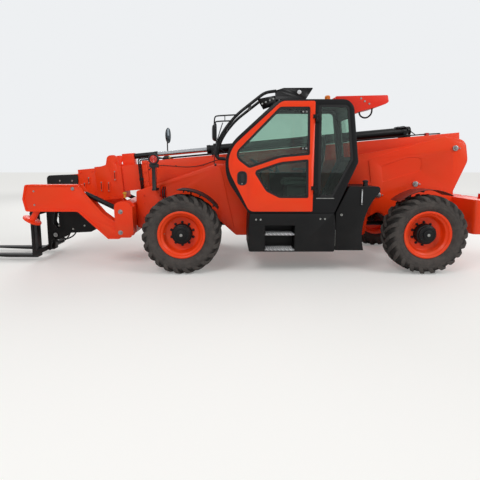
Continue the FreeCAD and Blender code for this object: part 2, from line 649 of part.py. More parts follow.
HEAD = from_pin((
    (-100, 1420, 60), (430, 1440, 40), (410, 1060, 80), (650, 850, 80), (730, 560, 80),
    (620, 450, 60), (220, 430, 80), (70, 320, 60), (-10, 310, 60), (-90, 400, 60),
    (60, 520, 40), (60, 930, 60), (-100, 1060, 40)))
socket = doc.addObject("Part::Compound", "head_socket")
socket.Links = [box("head_socket_block", "-outer_long - 1700", "-outer_long - 900", "-tip_wide/2",
                    "tip_wide/2", "-tip_tall/2", "tip_tall/2")]
skin = cut("head_box", slab("head_outside", HEAD, "-head_half - head_plate", "head_half + head_plate"),
           [slab("head_inside", inset(HEAD, 20), "-head_half", "head_half"),
            box("head_mouth", head_pin + " - 300", head_pin + " + 120", "-head_half", "head_half",
                "200", "1100"),
            box("head_heel", head_pin, head_pin + " + 240", "-head_half", "head_half", "200", "600"),
            laid(socket)])
head = [skin]
for name, radius, x, z in (("carriage_pin", "foot_pin", head_pin, "tilt_pin_z"),
                           ("tilt_foot_pin", "tilt_pin", head_pin + " + tilt_foot_back",
                            "tilt_foot_z")):
    head.append(rod(name, "Y", radius, "-head_half - head_plate - 22",
                    "head_half + head_plate + 22", x, z=z))
LOOP = ((280, -119, 500), (275, -150, 470), (200, -150, 330), (50, -150, 262), (-35, -150, 330),
        (-20, -119, 350))
for side in (-1, 1):
    head.append(bent("head_hose_%d" % (side + 1), [V(PIN_X + x, -side * y, z) for x, y, z in LOOP],
                     size("hose_radius")))
node("boom_head", fuse("boom_head_parts", head))

lugs = []
LUG = from_pin(((-162, 120, 0), (-162, 920, 30), (-40, 930, 50), (-20, 820, 40), (-70, 600, 80),
                (60, 440, 60), (40, 340, 60), (-100, 300, 40), (-120, 120, 20)))
for side in (-1, 1):
    low, high = sorted((side * 66, side * 90))
    lugs.append(cut("lug_%d" % (side + 1), slab("lug_plate_%d" % (side + 1), LUG, low, high), [
        rod("lug_bore", "Y", "foot_pin + 0.5", low - 1, high + 1, head_pin, z="tilt_pin_z")]))
    low, high = sorted((side * 520, side * 560))
    lugs.append(box("carriage_end", head_pin + " - 200", head_pin + " - 162", low, high, "130",
                    "860"))
for low, high in ((130, 210), (780, 860)):
    lugs.append(box("carriage_bar", head_pin + " - 200", head_pin + " - 160", "-carriage_half",
                    "carriage_half", low, high))
node("carriage", fuse("carriage_parts", lugs))
heel = -200 - size("fork_thick")
tip = -200 - size("fork_long")
FORK = from_pin(((-200, 60, 25), (-200, 905, 10), (heel, 905, 10), (heel, 110, 30), (tip, 110, 2),
                 (tip, 96, 5), (-700, 62, 60)))
forks = []
for side in (-1, 1):
    middle = "%d * fork_apart" % side
    ends = (middle + " - fork_wide/2", middle + " + fork_wide/2")
    forks.append(slab("fork_%d" % (side + 1), FORK, *ends))
    forks.append(box("fork_hook", head_pin + " - 205", head_pin + " - 145", *ends, "860", "890"))
node("forks", fuse("forks_parts", forks))


# Cylinders, drawn along X from the foot pin to the rod's eye

def ram(label, foot, eye, y, barrel, shaft, barrel_long, pin, half, drawn_in=0):
    """A cylinder and its rod. From rest the rod can go in by drawn_in."""
    reach = math.hypot(eye[0] - foot[0], eye[1] - foot[1])
    heading = math.degrees(math.atan2(eye[1] - foot[1], eye[0] - foot[0]))
    lie = FreeCAD.Placement(V(FX + foot[0], y, foot[1]), FreeCAD.Rotation(V(0, 1, 0), -heading))
    outside = fuse(label + "_case", [
        rod(label + "_tube", "X", barrel, "%s * 0.6" % barrel, barrel_long),
        rod(label + "_foot", "Y", "%s * 0.9" % barrel, "-(%s)" % half, half)])
    case = cut(label + "_hollow", outside, [
        rod(label + "_bore", "X", "%s * 0.8" % barrel, "%s * 1.1" % barrel, barrel_long - 35),
        rod(label + "_gland", "X", "%s + 0.5" % shaft, barrel_long - 60, barrel_long + 10),
        rod(label + "_pin_bore", "Y", "%s + 0.5" % pin, "-(%s) - 5" % half, "%s + 5" % half)])
    case.Placement = lie
    node(label + "_barrel", case)
    start = "%s * 1.15 + %d" % (barrel, drawn_in)
    arm = fuse(label + "_slider", [
        rod(label + "_shaft", "X", shaft, start, reach),
        rod(label + "_piston", "X", "%s * 0.8 - 0.5" % barrel, start, start + " + 20"),
        rod(label + "_eye", "Y", "%s * 1.3" % shaft, "-(%s)" % half, half, reach)])
    arm.Placement = lie
    node(label + "_rod", arm)


slope = math.radians(size("boom_slope"))
along = size("lift_eye_along")
drop = size("lift_eye_drop")
lift_eye = (pivot_x - along * math.cos(slope) + drop * math.sin(slope),
            pivot_z - along * math.sin(slope) - drop * math.cos(slope))
lift_foot = (size("wheelbase") + size("lift_foot_back"), size("lift_foot_height"))
ram("lift", lift_foot, lift_eye, 0, "lift_barrel", "lift_rod", 1960, "foot_pin", "lift_eye_half")
ram("tilt", (PIN_X - FX + size("tilt_foot_back"), size("tilt_foot_z")),
    (PIN_X - FX + size("tilt_eye_back"), size("tilt_eye_z")), 0, "tilt_barrel", "tilt_rod", 612,
    "tilt_pin", "48", 80)

# Stabilisers

ARM = from_front((
    (-1185, 456, 20), (-1002, 456, 50), (-897, 600, 60), (-1034, 699, 60), (-1251, 861, 60),
    (-1497, 1148, 60), (-1605, 1302, 40), (-2430, 1302, 40), (-2480, 1080, 60), (-2440, 886, 40),
    (-1640, 886, 90)))
OPEN_TOP = from_front(((-1000, 620, 0), (-1170, 620, 0), (-1640, 1100, 0), (-1640, 1340, 0),
                       (-1560, 1340, 0), (-1000, 780, 0)))
down = math.radians(30)
for label, side in (("left", -1), ("right", 1)):
    middle = "%d * stay_y" % side
    foot_y = "%d * (stay_y + 50)" % side
    arm = cut(label + "_stay_hollow", slab(label + "_stay_block", ARM, middle + " - stay_half",
                                           middle + " + stay_half"),
              [slab(label + "_stay_inside", inset(ARM, 14), middle + " - stay_half + 14",
                    middle + " + stay_half - 14"),
               slab(label + "_stay_open", OPEN_TOP, middle + " - stay_half + 14",
                    middle + " + stay_half - 14")])
    bosses = []
    for turn in (-1, 1):
        low, high = sorted((turn * 40, turn * 70))
        bosses.append(rod(label + "_stay_boss", "Y", "34", "%s + %d" % (middle, low),
                          "%s + %d" % (middle, high), behind("stay_knee_x"), z="stay_knee_z"))
    hub = rod(label + "_stay_hub", "Y", "62", middle + " - stay_half", middle + " + stay_half",
              behind("stay_pin_x"), z="stay_pin_z")
    pin_x = FX + size("stay_pin_x")
    pin_z = size("stay_pin_z")
    foot = []
    for name, radius, low, high in (("pad", 140, 4, 28), ("neck", 45, 20, 260)):
        piece = doc.addObject("Part::Cylinder", label + "_stay_" + name)
        piece.Radius = radius
        piece.Height = high - low
        dx = -2290 - size("stay_pin_x")
        dz = low - pin_z
        spot = V(pin_x + dx * math.cos(down) + dz * math.sin(down), side * (size("stay_y") + 10),
                 pin_z - dx * math.sin(down) + dz * math.cos(down))
        piece.Placement = FreeCAD.Placement(spot, FreeCAD.Rotation(V(0, 1, 0), math.degrees(down)))
        foot.append(piece)
    whole = fuse(label + "_stay_parts", [arm, hub] + bosses + foot)
    node("stabiliser_" + label, cut(label + "_stay_bored", whole, [
        rod(label + "_stay_bore", "Y", "stay_pin + 0.5", middle + " - 200", middle + " + 200",
            behind("stay_pin_x"), z="stay_pin_z")]))
    ram("stay_" + label, (size("stay_ram_x"), size("stay_ram_z")),
        (size("stay_knee_x"), size("stay_knee_z")), side * size("stay_y"), "stay_barrel", "stay_rod",
        620, "stay_pin", "34")

# Cab

CAB = from_front(((985, 905, 60), (478, 1688, 560), (1388, 2515, 300), (2440, 2515, 170),
                  (2545, 1640, 80), (2225, 905, 50)))
DOOR = from_front(((1900, 2485, 20), (1900, 937, 20), (990, 937, 110), (593, 1720, 420),
                   (1433, 2485, 150)))
UPPER = from_front(((1410, 2407, 80), (1830, 2407, 25), (1842, 1742, 25), (1430, 1705, 500),
                    (985, 1555, 60), (745, 1735, 120)))
LOWER = from_front(((1045, 1515, 50), (1430, 1645, 500), (1825, 1684, 25), (1837, 1131, 25),
                    (1420, 1131, 120), (1230, 1225, 120)))
SIDE = from_front(((1965, 2440, 30), (2385, 2440, 70), (2470, 1680, 60), (2200, 1140, 40),
                   (1985, 1140, 20)))
RIGHT = inset(CAB, 110)
wall = size("cab_wall")
front_window = box("front_window", behind(400), behind(1330), "cab_left + 70", "cab_right - 70",
                   "1120", "2330")
rear_window = box("rear_window", behind(2330), behind(2700), "cab_left + 90", "cab_right - 90",
                  "1720", "2280")
shell = slab("cab_outside", CAB, "cab_left", "cab_right")
openings = [
    slab("cab_inside", inset(CAB, wall), "cab_left + cab_wall", "cab_right - cab_wall"),
    slab("door_opening", inset(DOOR, 30), "cab_left - 5", "cab_left + cab_wall + 5"),
    slab("side_opening", SIDE, "cab_left - 5", "cab_left + cab_wall + 5"),
    slab("right_opening", RIGHT, "cab_right - cab_wall - 5", "cab_right + 5"),
    front_window, rear_window]
bare = cut("cab_shell", shell, openings)
hinges = []
HINGE_LEVELS = (1250, 2250)
for level in HINGE_LEVELS:
    hinges.append(rod("cab_hinge", "Z", "18", level - 50, level - 0.5, behind("door_hinge_x"),
                      "door_hinge_y"))
    hinges.append(box("cab_hinge_leaf", behind("door_hinge_x"), behind("door_hinge_x + 50"),
                      "door_hinge_y - 10", "cab_left + 10", level - 50, level - 0.5))
node("cab_frame", fuse("cab_frame_parts", [bare] + hinges))

panes = [
    common("windscreen", cut("screen_shell", slab("screen_outside", inset(CAB, 12), "cab_left + 70.3",
                                                  "cab_right - 70.3"),
                             [slab("screen_inside", inset(CAB, 18), "cab_left", "cab_right")]),
           box("screen_part", behind(400), behind(1329), "cab_left", "cab_right", "1120.3", "2329.7")),
    common("rear_pane", cut("back_shell", slab("back_outside", inset(CAB, 12), "cab_left + 90.3",
                                               "cab_right - 90.3"),
                            [slab("back_inside", inset(CAB, 18), "cab_left", "cab_right")]),
           box("back_part", behind(2331), behind(2700), "cab_left", "cab_right", "1720.3", "2279.7")),
    slab("side_pane", inset(SIDE, 0.3), "cab_left + 12", "cab_left + 18"),
    slab("right_pane", inset(RIGHT, 0.3), "cab_right - 18", "cab_right - 12")]
node("cab_glass", fuse("cab_glass_parts", panes))

HANDLE = from_front(((818, 1512, 55), (950, 1512, 55), (950, 1318, 55), (818, 1318, 55)))
door_in = "cab_left - door_gap"
door_out = "cab_left - door_gap - door_thick"
leaf = cut("door_leaf", slab("door_outside", DOOR, door_out, door_in), [
    slab("upper_window", UPPER, door_out + " - 5", door_in + " + 5"),
    slab("lower_window", LOWER, door_out + " - 5", door_in + " + 5"),
    slab("handle_recess", HANDLE, door_out + " - 5", door_out + " + handle_deep")])
straps = []
for level in HINGE_LEVELS:
    straps.append(rod("door_hinge", "Z", "18", level, level + 50, behind("door_hinge_x"),
                      "door_hinge_y"))
    straps.append(box("door_strap", behind("door_hinge_x - 60"), behind("door_hinge_x"),
                      "door_hinge_y - 10", door_out + " + 5", level, level + 50))
node("cab_door", fuse("cab_door_parts", [leaf] + straps))
node("door_glass", fuse("door_glass_parts", [
    slab("upper_pane", inset(UPPER, 0.3), door_in + " - 20", door_in + " - 14"),
    slab("lower_pane", inset(LOWER, 0.3), door_in + " - 20", door_in + " - 14")]))

# Cab base with its step recess

BASE = from_front(((1000, 905, 10), (2222, 905, 10), (2243, 740, 20), (2243, 340, 30),
                   (984, 340, 30), (984, 740, 20)))
node("cab_base", cut("cab_base_cut", slab("cab_base_block", BASE, "base_left", "-frame_half"), [
    box("step_recess", behind(1221), behind(1656), "base_left - 5", "base_left + step_depth",
        "352", "730")]))
node("cab_steps", fuse("cab_steps_parts", [
    box("tread_low", behind(1221), behind(1656), "base_left + 10", "base_left + step_depth",
        "352", "352 + step_thick"),
    box("tread_high", behind(1221), behind(1656), "base_left + 20", "base_left + step_depth",
        "580", "580 + step_thick")]))
TANK = from_front(((2445, 1290, 20), (2900, 1290, 40), (2900, 345, 20), (2262, 345, 20),
                   (2262, 905, 30)))
tank = cut("tank_cut", slab("tank_block", TANK, "-1080", "-frame_half"), [
    rod("tank_hollow", "Y", "tyre_outer_radius + wheel_room", "-1200", "-300", rear,
        z="tyre_outer_radius")])
node("hydraulic_tank", fuse("tank_parts", [
    tank, rod("filler_neck", "Z", "34", "1285", "1350", behind(2725), "-940")]))

ROOF_UNIT = from_front(((2225, 2516, 0), (2215, 2576, 20), (2965, 2592, 20), (2985, 2500, 20),
                        (2945, 2470, 20), (2850, 2440, 100), (2565, 2362, 20), (2450, 2300, 0),
                        (2300, 2400, 0)))
node("roof_unit", cut("roof_unit_cut", slab("roof_unit_block", ROOF_UNIT, "-1000", "-500"), [
    slab("cab_outside_again", inset(CAB, -0.3), "-1200", "-300")]))
node("beacon", fuse("beacon_parts", [
    rod("beacon_foot", "Z", "50", "2515", "2535", behind(2160), "-780"),
    rod("beacon_dome", "Z", "42", "2535", "2625", behind(2160), "-780")]))

VISOR = from_front(((1345, 2515, 0), (1345, 2635, 10), (1463, 2672, 20), (1878, 2674, 10),
                    (1775, 2515, 0)))
GUARD = ((643.7, 1690), (500, 1700), (555, 1963), (656, 2131), (807, 2306), (1006, 2461), (1202, 2610),
         (1360, 2630))
rails = []
for n, y in enumerate((-1095, -415)):
    rails.append(pipe("guard_rail_%d" % n, [(x, y, z) for x, z in GUARD], 22))
    rails.append(slab("visor_side_%d" % n, VISOR, y - 6, y + 6))
for n, (x, z) in enumerate(((656, 2131), (1006, 2461))):
    rails.append(rod("guard_cross", "Y", "16", "-1095", "-415", behind(x), z=z))
rails.append(box("visor_top", behind(1470), behind(1870), "-1095", "-415", "2660", "2673"))
for n, y in enumerate((-930, -580)):
    rails.append(rod("work_lamp_%d" % n, "X", "48", behind(1470), behind(1545), y=y, z="2605"))
    rails.append(box("work_lamp_foot_%d" % n, behind(1490), behind(1530), y - 20, y + 20, "2645",
                     "2662"))
rails.append(rod("side_lamp", "Y", "34", "-1116", "-1060", behind(1680), z="2612"))
rails.append(cut("gusset_cut", slab("gusset", from_front((
    (1094, 2520, 0), (1352, 2570, 20), (1352, 2440, 20), (1180, 2377, 0))), "-1101", "-1089"), [
        slab("cab_outside_more", inset(CAB, -0.3), "-1200", "-1000")]))
rails.append(cut("roof_hose_cut", pipe("roof_hose", (
    (2640, -760, 2460), (2650, -760, 2330), (2745, -760, 2290), (2830, -760, 2350),
    (2838, -760, 2500)), 12), [slab("roof_unit_again", inset(ROOF_UNIT, -0.3), "-1001", "-499")]))
node("cab_guard", fuse("cab_guard_parts", rails))

# Seat and controls

node("seat_cushion", box("seat_pad", behind(1470), behind(1930), "-1000", "-530", "1300", "1410"))
BACK = from_front(((1940, 1415, 30), (2060, 1415, 30), (2150, 2050, 40), (2040, 2060, 40)))
node("seat_back", slab("seat_back_block", BACK, "-990", "-540"))
WHEEL_PLACE = FreeCAD.Placement(V(FX + 1190, -765, 1600), FreeCAD.Rotation(V(0, 1, 0), -28))
steering = doc.addObject("Part::Torus", "steering_wheel")
steering.Radius1 = 185
steering.Radius2 = 15
steering.Placement = WHEEL_PLACE
spoke = doc.addObject("Part::Box", "steering_spoke")
spoke.Length, spoke.Width, spoke.Height = 30, 380, 14
spoke.Placement = FreeCAD.Placement(V(FX + 1175, -955, 1588), FreeCAD.Rotation(V(0, 1, 0), -28))
node("cab_controls", fuse("cab_controls_parts", [
    box("seat_box", behind(1560), behind(1960), "-960", "-570", "cab_floor + cab_wall", "1299.7"),
    box("seat_rail", behind(1932), behind(1975), "-900", "-630", "1250", "1414.7"),
    box("side_console", behind(1350), behind(2150), "-529", "cab_right - cab_wall",
        "cab_floor + cab_wall", "1480"),
    pipe("steering_column", ((1090, -765, 1000), (1110, -765, 1300), (1195, -765, 1600)), 35),
    box("dash", behind(1025), behind(1150), "-900", "-640", "cab_floor + cab_wall", "1180"),
    steering, spoke]))

# Engine side

pod_rear = rear + " - pod_rear_gap"
tray = cut("tray_cut", box("tray_block", behind("pod_front"), pod_rear, "frame_half",
                           "pod_outer", "pod_low", "pod_low + tray_tall"),
           [box("tray_hollow", behind("pod_front + 20"), pod_rear + " - 20", "frame_half + 20",
                "pod_outer - 20", "pod_low + 15", "pod_low + tray_tall + 5")])
node("engine_tray", tray)
node("engine_block", fuse("engine_parts", [
    box("engine", behind(1250), behind(2150), "500", "1000", "pod_low + 15", "1230"),
    box("radiator", pod_rear + " - 320", pod_rear + " - 200", "430", "1000", "pod_low + 15", "1300")]))
inner = size("frame_half") + size("hood_gap")
HOOD = ((inner, 1500, 0), (990, 1475, 150), (1150, 1180, 150), (1150, 608, 0), (inner, 608, 0))
HOOD_IN = ((300, 1476, 0), (975, 1450, 130), (1125, 1170, 130), (1125, 500, 0), (300, 500, 0))
knuckles = []
sleeves = []
for x in HOOD_HINGES:
    knuckles.append(rod("hood_knuckle", "X", "hood_pin + 8", x + " + 5", x + " + 55", y=hinge_y,
                        z="hood_hinge_z"))
    sleeves.append(rod("hood_sleeve", "X", "hood_pin + 0.3", x + " + 4", x + " + 56", y=hinge_y,
                       z="hood_hinge_z"))
shell = cut("hood_shell", slab("hood_block", HOOD, behind("pod_front"), pod_rear, "YZ"), [
    slab("hood_hollow", HOOD_IN, behind("pod_front + hood_wall"), pod_rear + " - hood_wall", "YZ")])
grille = []
for row in range(8):
    low = "760 + %d * slat_pitch" % row
    high = low + " + slat_pitch - slat_wide"
    for start in (980, 1450):
        grille.append(box("side_vent", behind(start), behind(start + 440), "pod_outer - 60",
                          "pod_outer + 5", low, high))
    grille.append(box("rear_vent", pod_rear + " - 40", pod_rear + " + 5", "480", "960", low, high))
node("engine_hood", cut("hood_bored", fuse("hood_parts", [shell] + knuckles), sleeves + grille))
node("drive_line", fuse("drive_line_parts", [
    box("gearbox", behind(1500), behind(2250), "-200", "200", "frame_low + 20", "880"),
    rod("front_shaft", "X", "38", "front_axle_x + 170", behind(1500), z="tyre_outer_radius"),
    rod("rear_shaft", "X", "38", behind(2250), rear + " - 170", z="tyre_outer_radius")]))

# Lamps and mirrors

lamps = []
mirrors = []
for side in (-1, 1):
    tag = "%d" % (side + 1)
    low, high = sorted((side * 360, side * 650))
    low, high = sorted((side * (size("frame_half") + size("skin_thick")), side * 650))
    lamps.append(box("lamp_bracket_" + tag, behind(-510), behind(-450), low, high, "1200", "1230"))
    lamps.append(box("lamp_post_" + tag, behind(-508), behind(-452), side * 620 - 15,
                     side * 620 + 15, "1225", "1570"))
    lamps.append(box("lamp_block_" + tag, behind(-545), behind(-405), side * 620 - 28,
                     side * 620 + 28, "1560", "1622"))
    low, high = sorted((side * 588, side * 650))
    lamps.append(rod("lamp_" + tag, "Y", "80", low, high, behind(-475), z="1690"))
node("front_lamps", fuse("front_lamp_parts", lamps))
node("tail_lamps", fuse("tail_lamp_parts", [
    box("tail_lamp_%d" % n, rear_end + " - 120", rear_end + " - 60", y - 90, y + 90, "1080", "1150")
    for n, y in enumerate((-650, 650))]))
node("mirrors", fuse("mirror_parts", [
    pipe("mirror_arm_high", ((800, -1117.3, 2298), (799, -1158, 2297), (520, -1130, 2285),
                             (486, -1105, 2150)), 10),
    pipe("mirror_arm_low", ((729, -1117.3, 2216), (728, -1158, 2215), (560, -1120, 2150),
                            (500, -1105, 2120)), 10),
    box("mirror_left", behind(458), behind(514), "-1190", "-1020", "1938", "2184.0"),
    pipe("mirror_stalk", ((-480, 651, 1215), (-480, 820, 1216), (-490, 980, 1330), (-520, 1000, 1560),
                          (-520, 1000, 1900)), 12),
    box("mirror_right", behind(-545), behind(-495), "915", "1085", "1890", "2300")]))

doc.recompute()
faults = [thing.Label for thing in doc.Objects if "Invalid" in thing.State or "Error" in thing.State]
for thing in nodes:
    if thing.Shape.isNull() or not thing.Shape.isValid():
        faults.append(thing.Label)
if faults:
    raise RuntimeError("these failed: " + ", ".join(faults))
for thing in nodes:
    thing.Shape.exportStep("parts/%s.step" % thing.Label)
whole = Part.Compound([thing.Shape for thing in nodes]).BoundBox
print(len(nodes), "nodes", whole)
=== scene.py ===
import json
import math

import bmesh
import bpy
from mathutils import Matrix, Vector
from mathutils.bvhtree import BVHTree

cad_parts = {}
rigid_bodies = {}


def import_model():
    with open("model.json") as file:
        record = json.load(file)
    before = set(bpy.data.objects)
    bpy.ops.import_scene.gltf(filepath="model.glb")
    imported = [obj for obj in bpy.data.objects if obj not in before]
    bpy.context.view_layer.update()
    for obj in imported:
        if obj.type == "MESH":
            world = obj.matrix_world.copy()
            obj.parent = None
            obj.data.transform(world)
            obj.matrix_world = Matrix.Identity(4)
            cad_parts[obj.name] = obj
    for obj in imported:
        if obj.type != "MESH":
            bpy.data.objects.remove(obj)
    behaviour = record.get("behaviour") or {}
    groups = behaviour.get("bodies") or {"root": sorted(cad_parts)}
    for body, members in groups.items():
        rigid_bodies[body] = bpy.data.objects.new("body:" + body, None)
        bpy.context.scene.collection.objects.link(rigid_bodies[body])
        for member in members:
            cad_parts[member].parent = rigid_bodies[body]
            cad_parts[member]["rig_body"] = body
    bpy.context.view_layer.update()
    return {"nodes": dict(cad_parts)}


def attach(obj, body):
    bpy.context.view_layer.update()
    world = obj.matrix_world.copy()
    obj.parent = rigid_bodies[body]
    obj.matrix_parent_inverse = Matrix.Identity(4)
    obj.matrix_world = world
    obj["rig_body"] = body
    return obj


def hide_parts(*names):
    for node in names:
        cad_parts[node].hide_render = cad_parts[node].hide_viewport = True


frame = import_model()

# Telehandler with a four-section boom. Metres, +Z up, the front is -X and the cab side is -Y.
# "Behind" is a distance back from the front axle, as in the drawings of the machine's side.
axle = {"front": -0.515, "rear": 3.085, "height": 0.5875, "wheelY": 0.9975}
wheelPlaces = {
    "front_left": (axle["front"], -1),
    "front_right": (axle["front"], 1),
    "rear_left": (axle["rear"], -1),
    "rear_right": (axle["rear"], 1),
}
boomLine = {"pivotX": 3.835, "pivotZ": 1.867, "slope": math.radians(5.19), "mouth": -5.110}
carriagePin = (-2.815, 0.400)
leftward, rightward, forward, backward = (0, -1, 0), (0, 1, 0), (-1, 0, 0), (1, 0, 0)
upward = (0, 0, 1)


def behind(distance):  # x of a point that lies this far behind the front axle
    return axle["front"] + distance


def onBoom(along, y, rise):  # from distances along and over the boom's middle line
    cosine, sine = math.cos(boomLine["slope"]), math.sin(boomLine["slope"])
    return (boomLine["pivotX"] + along * cosine - rise * sine, y,
            boomLine["pivotZ"] + along * sine + rise * cosine)


def alongBoom(point):  # how far along the boom a point lies
    return ((point[0] - boomLine["pivotX"]) * math.cos(boomLine["slope"])
            + (point[2] - boomLine["pivotZ"]) * math.sin(boomLine["slope"]))


def onMouth(ahead, y, rise):  # the same, from the mouth of the boom's outer section
    return onBoom(boomLine["mouth"] + ahead, y, rise)


# Camera: the photograph's horizon and vanishing point, without tilting the sideways lines
cameraView = {
    "place": (0.197, -6.6, 1.63),
    "pitchDown": 7.64,
    "focalPixels": 380,
    "imagePixels": 480,
    "centreX": 230,  # the picture's optical centre, in pixels
    "centreY": 214,
}


def placeCamera():
    data = bpy.data.cameras.new("photoCamera")
    camera = bpy.data.objects.new("photoCamera", data)
    bpy.context.scene.collection.objects.link(camera)
    size = cameraView["imagePixels"]
    data.sensor_width = 36
    data.lens = data.sensor_width * cameraView["focalPixels"] / size
    data.shift_x = (size / 2 - cameraView["centreX"]) / size
    data.shift_y = (cameraView["centreY"] - size / 2) / size
    data.clip_end = 200
    camera.location = cameraView["place"]
    camera.rotation_euler = (math.radians(90 - cameraView["pitchDown"]), 0, 0)
    bpy.context.scene.camera = camera


placeCamera()
print("camera placed")

# Floor, sky and lamps. The lamps stand all round, so that no side is left dark
studio = {
    "floor": "#E4E3E0",
    "floorGlow": (0.25, 0.62),  # near and far, seen by the camera only
    "sky": "#EEF0F2",
    "skyLight": 0.46,
    "lamps": {
        "key": {"power": 520, "place": (-4.0, -9.5, 9.0), "size": 5.0},
        "fill": {"power": 560, "place": (11.0, -6.5, 8.5), "size": 6.0},
        "far": {"power": 420, "place": (-5.0, 9.5, 8.0), "size": 6.0},
        "back": {"power": 300, "place": (10.5, 5.0, 6.0), "size": 6.0},
    },
}


def linearColour(hexText):  # sRGB hex to linear RGBA
    values = []
    for start in (1, 3, 5):
        part = int(hexText[start:start + 2], 16) / 255
        values.append(part / 12.92 if part <= 0.04045 else ((part + 0.055) / 1.055) ** 2.4)
    return (*values, 1.0)


def addNode(tree, kind, inputs=None, **settings):  # a node with its settings, values and links
    node = tree.nodes.new(kind)
    for name, value in settings.items():
        setattr(node, name, value)
    for name, value in (inputs or {}).items():
        socket = node.inputs[name]
        if isinstance(value, bpy.types.NodeSocket):
            tree.links.new(value, socket)
        else:
            socket.default_value = value
    return node


def newMaterial(name):
    material = bpy.data.materials.new(name)
    material.use_nodes = True
    material.node_tree.nodes.clear()
    return material, material.node_tree


def outputOf(tree, shader):
    addNode(tree, "ShaderNodeOutputMaterial", {"Surface": shader})


def ramp(tree, value, stops):  # colours, or greys, at positions along a value
    node = addNode(tree, "ShaderNodeValToRGB", {"Fac": value})
    points = node.color_ramp.elements
    while len(points) < len(stops):
        points.new(0.5)
    for point, (position, colour) in zip(points, stops):
        point.position = position
        point.color = linearColour(colour) if isinstance(colour, str) else (colour, colour, colour, 1)
    return node.outputs["Color"]


def mixColour(tree, share, first, second, blend="MIX"):
    return addNode(tree, "ShaderNodeMix", {0: share, 6: first, 7: second}, data_type="RGBA",
                   blend_type=blend).outputs[2]


def maths(tree, operation, first, second=0.0, clamp=False):
    return addNode(tree, "ShaderNodeMath", {0: first, 1: second}, operation=operation,
                   use_clamp=clamp).outputs[0]


def placeOf(tree):  # the point on the piece, in metres
    return addNode(tree, "ShaderNodeTexCoord").outputs["Object"]


def noise(tree, place, size, detail=4.0, roughness=0.55):  # clouds about this many metres across
    return addNode(tree, "ShaderNodeTexNoise", {"Vector": place, "Scale": 1 / size, "Detail": detail,
                                                "Roughness": roughness}).outputs["Fac"]


def bumped(tree, height, depth):
    return addNode(tree, "ShaderNodeBump", {"Height": height, "Strength": 1.0,
                                            "Distance": depth}).outputs["Normal"]


def dustShare(tree, place, low=0.25, high=1.0):  # heavy near the ground and on faces that look up
    height = addNode(tree, "ShaderNodeSeparateXYZ", {"Vector": place}).outputs["Z"]
    near = addNode(tree, "ShaderNodeMapRange", {"Value": height, "From Min": low, "From Max": high,
                                                "To Min": 0.6, "To Max": 0.06}).outputs["Result"]
    facing = addNode(tree, "ShaderNodeNewGeometry").outputs["Normal"]
    up = addNode(tree, "ShaderNodeSeparateXYZ", {"Vector": facing}).outputs["Z"]
    lies = maths(tree, "MULTIPLY", maths(tree, "MAXIMUM", up, 0.0), 0.25)
    clouds = ramp(tree, noise(tree, place, 0.3, 6.0, 0.65), ((0.42, 0.0), (0.72, 1.0)))
    return maths(tree, "MULTIPLY", maths(tree, "ADD", near, lies, True), clouds)


def edgeWear(tree, place, radius, spots=0.03):  # worn outer edges, broken up by a cloudy pattern
    rounded = addNode(tree, "ShaderNodeBevel", {"Radius": radius}, samples=4).outputs["Normal"]
    plain = addNode(tree, "ShaderNodeNewGeometry").outputs["Normal"]
    along = addNode(tree, "ShaderNodeVectorMath", {0: rounded, 1: plain}, operation="DOT_PRODUCT")
    edge = ramp(tree, along.outputs["Value"], ((0.93, 1.0), (0.995, 0.0)))
    chips = ramp(tree, noise(tree, place, spots, 5.0, 0.7), ((0.55, 0.0), (0.62, 1.0)))
    return maths(tree, "MULTIPLY", edge, chips)


paints = {
    "orange": {"colour": "#F53A0E", "faded": "#F04214", "dust": "#C87A54", "metal": "#7A5A4E",
               "rough": 0.36, "dustAmount": 0.10, "coat": 0.10},
    "rimOrange": {"colour": "#F7400E", "faded": "#F04414", "dust": "#B97C5E", "metal": "#7A6258",
                  "rough": 0.40, "dustAmount": 0.14, "coat": 0.10},
    # A dark red that is painted shade, used on the tops of the rear guards and in the slots of the pad covers
    "paintedShadeRed": {"colour": "#86281A", "faded": "#7A2A1E", "dust": "#6E5A50", "metal": "#5A4A44",
                 "rough": 0.48, "dustAmount": 0.10, "coat": 0.03},
    "roofRed": {"colour": "#EA2A16", "faded": "#E6331F", "dust": "#C08A78", "metal": "#E23A29",
                "rough": 0.38, "dustAmount": 0.06, "coat": 0.15},
    "black": {"colour": "#09090A", "faded": "#0E0E0F", "dust": "#4A443F", "metal": "#3A3634",
              "rough": 0.50, "dustAmount": 0.09, "coat": 0.03},
    "frameBlack": {"colour": "#08080A", "faded": "#0C0C0E", "dust": "#3E3A37", "metal": "#2A2827",
                   "rough": 0.42, "dustAmount": 0.05, "coat": 0.06},
}


def paintedSteel(name, paint):
    # Two-pack enamel over steel: even colour, faint sun fade, dust low down, chips on edges
    material, tree = newMaterial(name)
    place = placeOf(tree)
    fade = ramp(tree, noise(tree, place, 0.6, 3.0), ((0.35, 0.0), (0.7, 1.0)))
    base = mixColour(tree, fade, linearColour(paint["colour"]), linearColour(paint["faded"]))
    dust = maths(tree, "MULTIPLY", dustShare(tree, place), paint["dustAmount"] * 2, True)
    dusty = mixColour(tree, dust, base, linearColour(paint["dust"]))
    worn = maths(tree, "MULTIPLY", edgeWear(tree, place, 0.004), 0.55)
    colour = mixColour(tree, worn, dusty, linearColour(paint["metal"]))
    rough = maths(tree, "ADD", maths(tree, "MULTIPLY", dust, 0.35), paint["rough"], True)
    peel = noise(tree, place, 0.006, 2.0)  # orange peel, drawn coarser than the real 2 mm
    shader = addNode(tree, "ShaderNodeBsdfPrincipled", {
        "Base Color": colour, "Roughness": rough, "Specular IOR Level": 0.26,
        "Coat Weight": paint["coat"], "Coat Roughness": 0.15,
        "Normal": bumped(tree, peel, 0.00012)})
    outputOf(tree, shader.outputs[0])
    return material


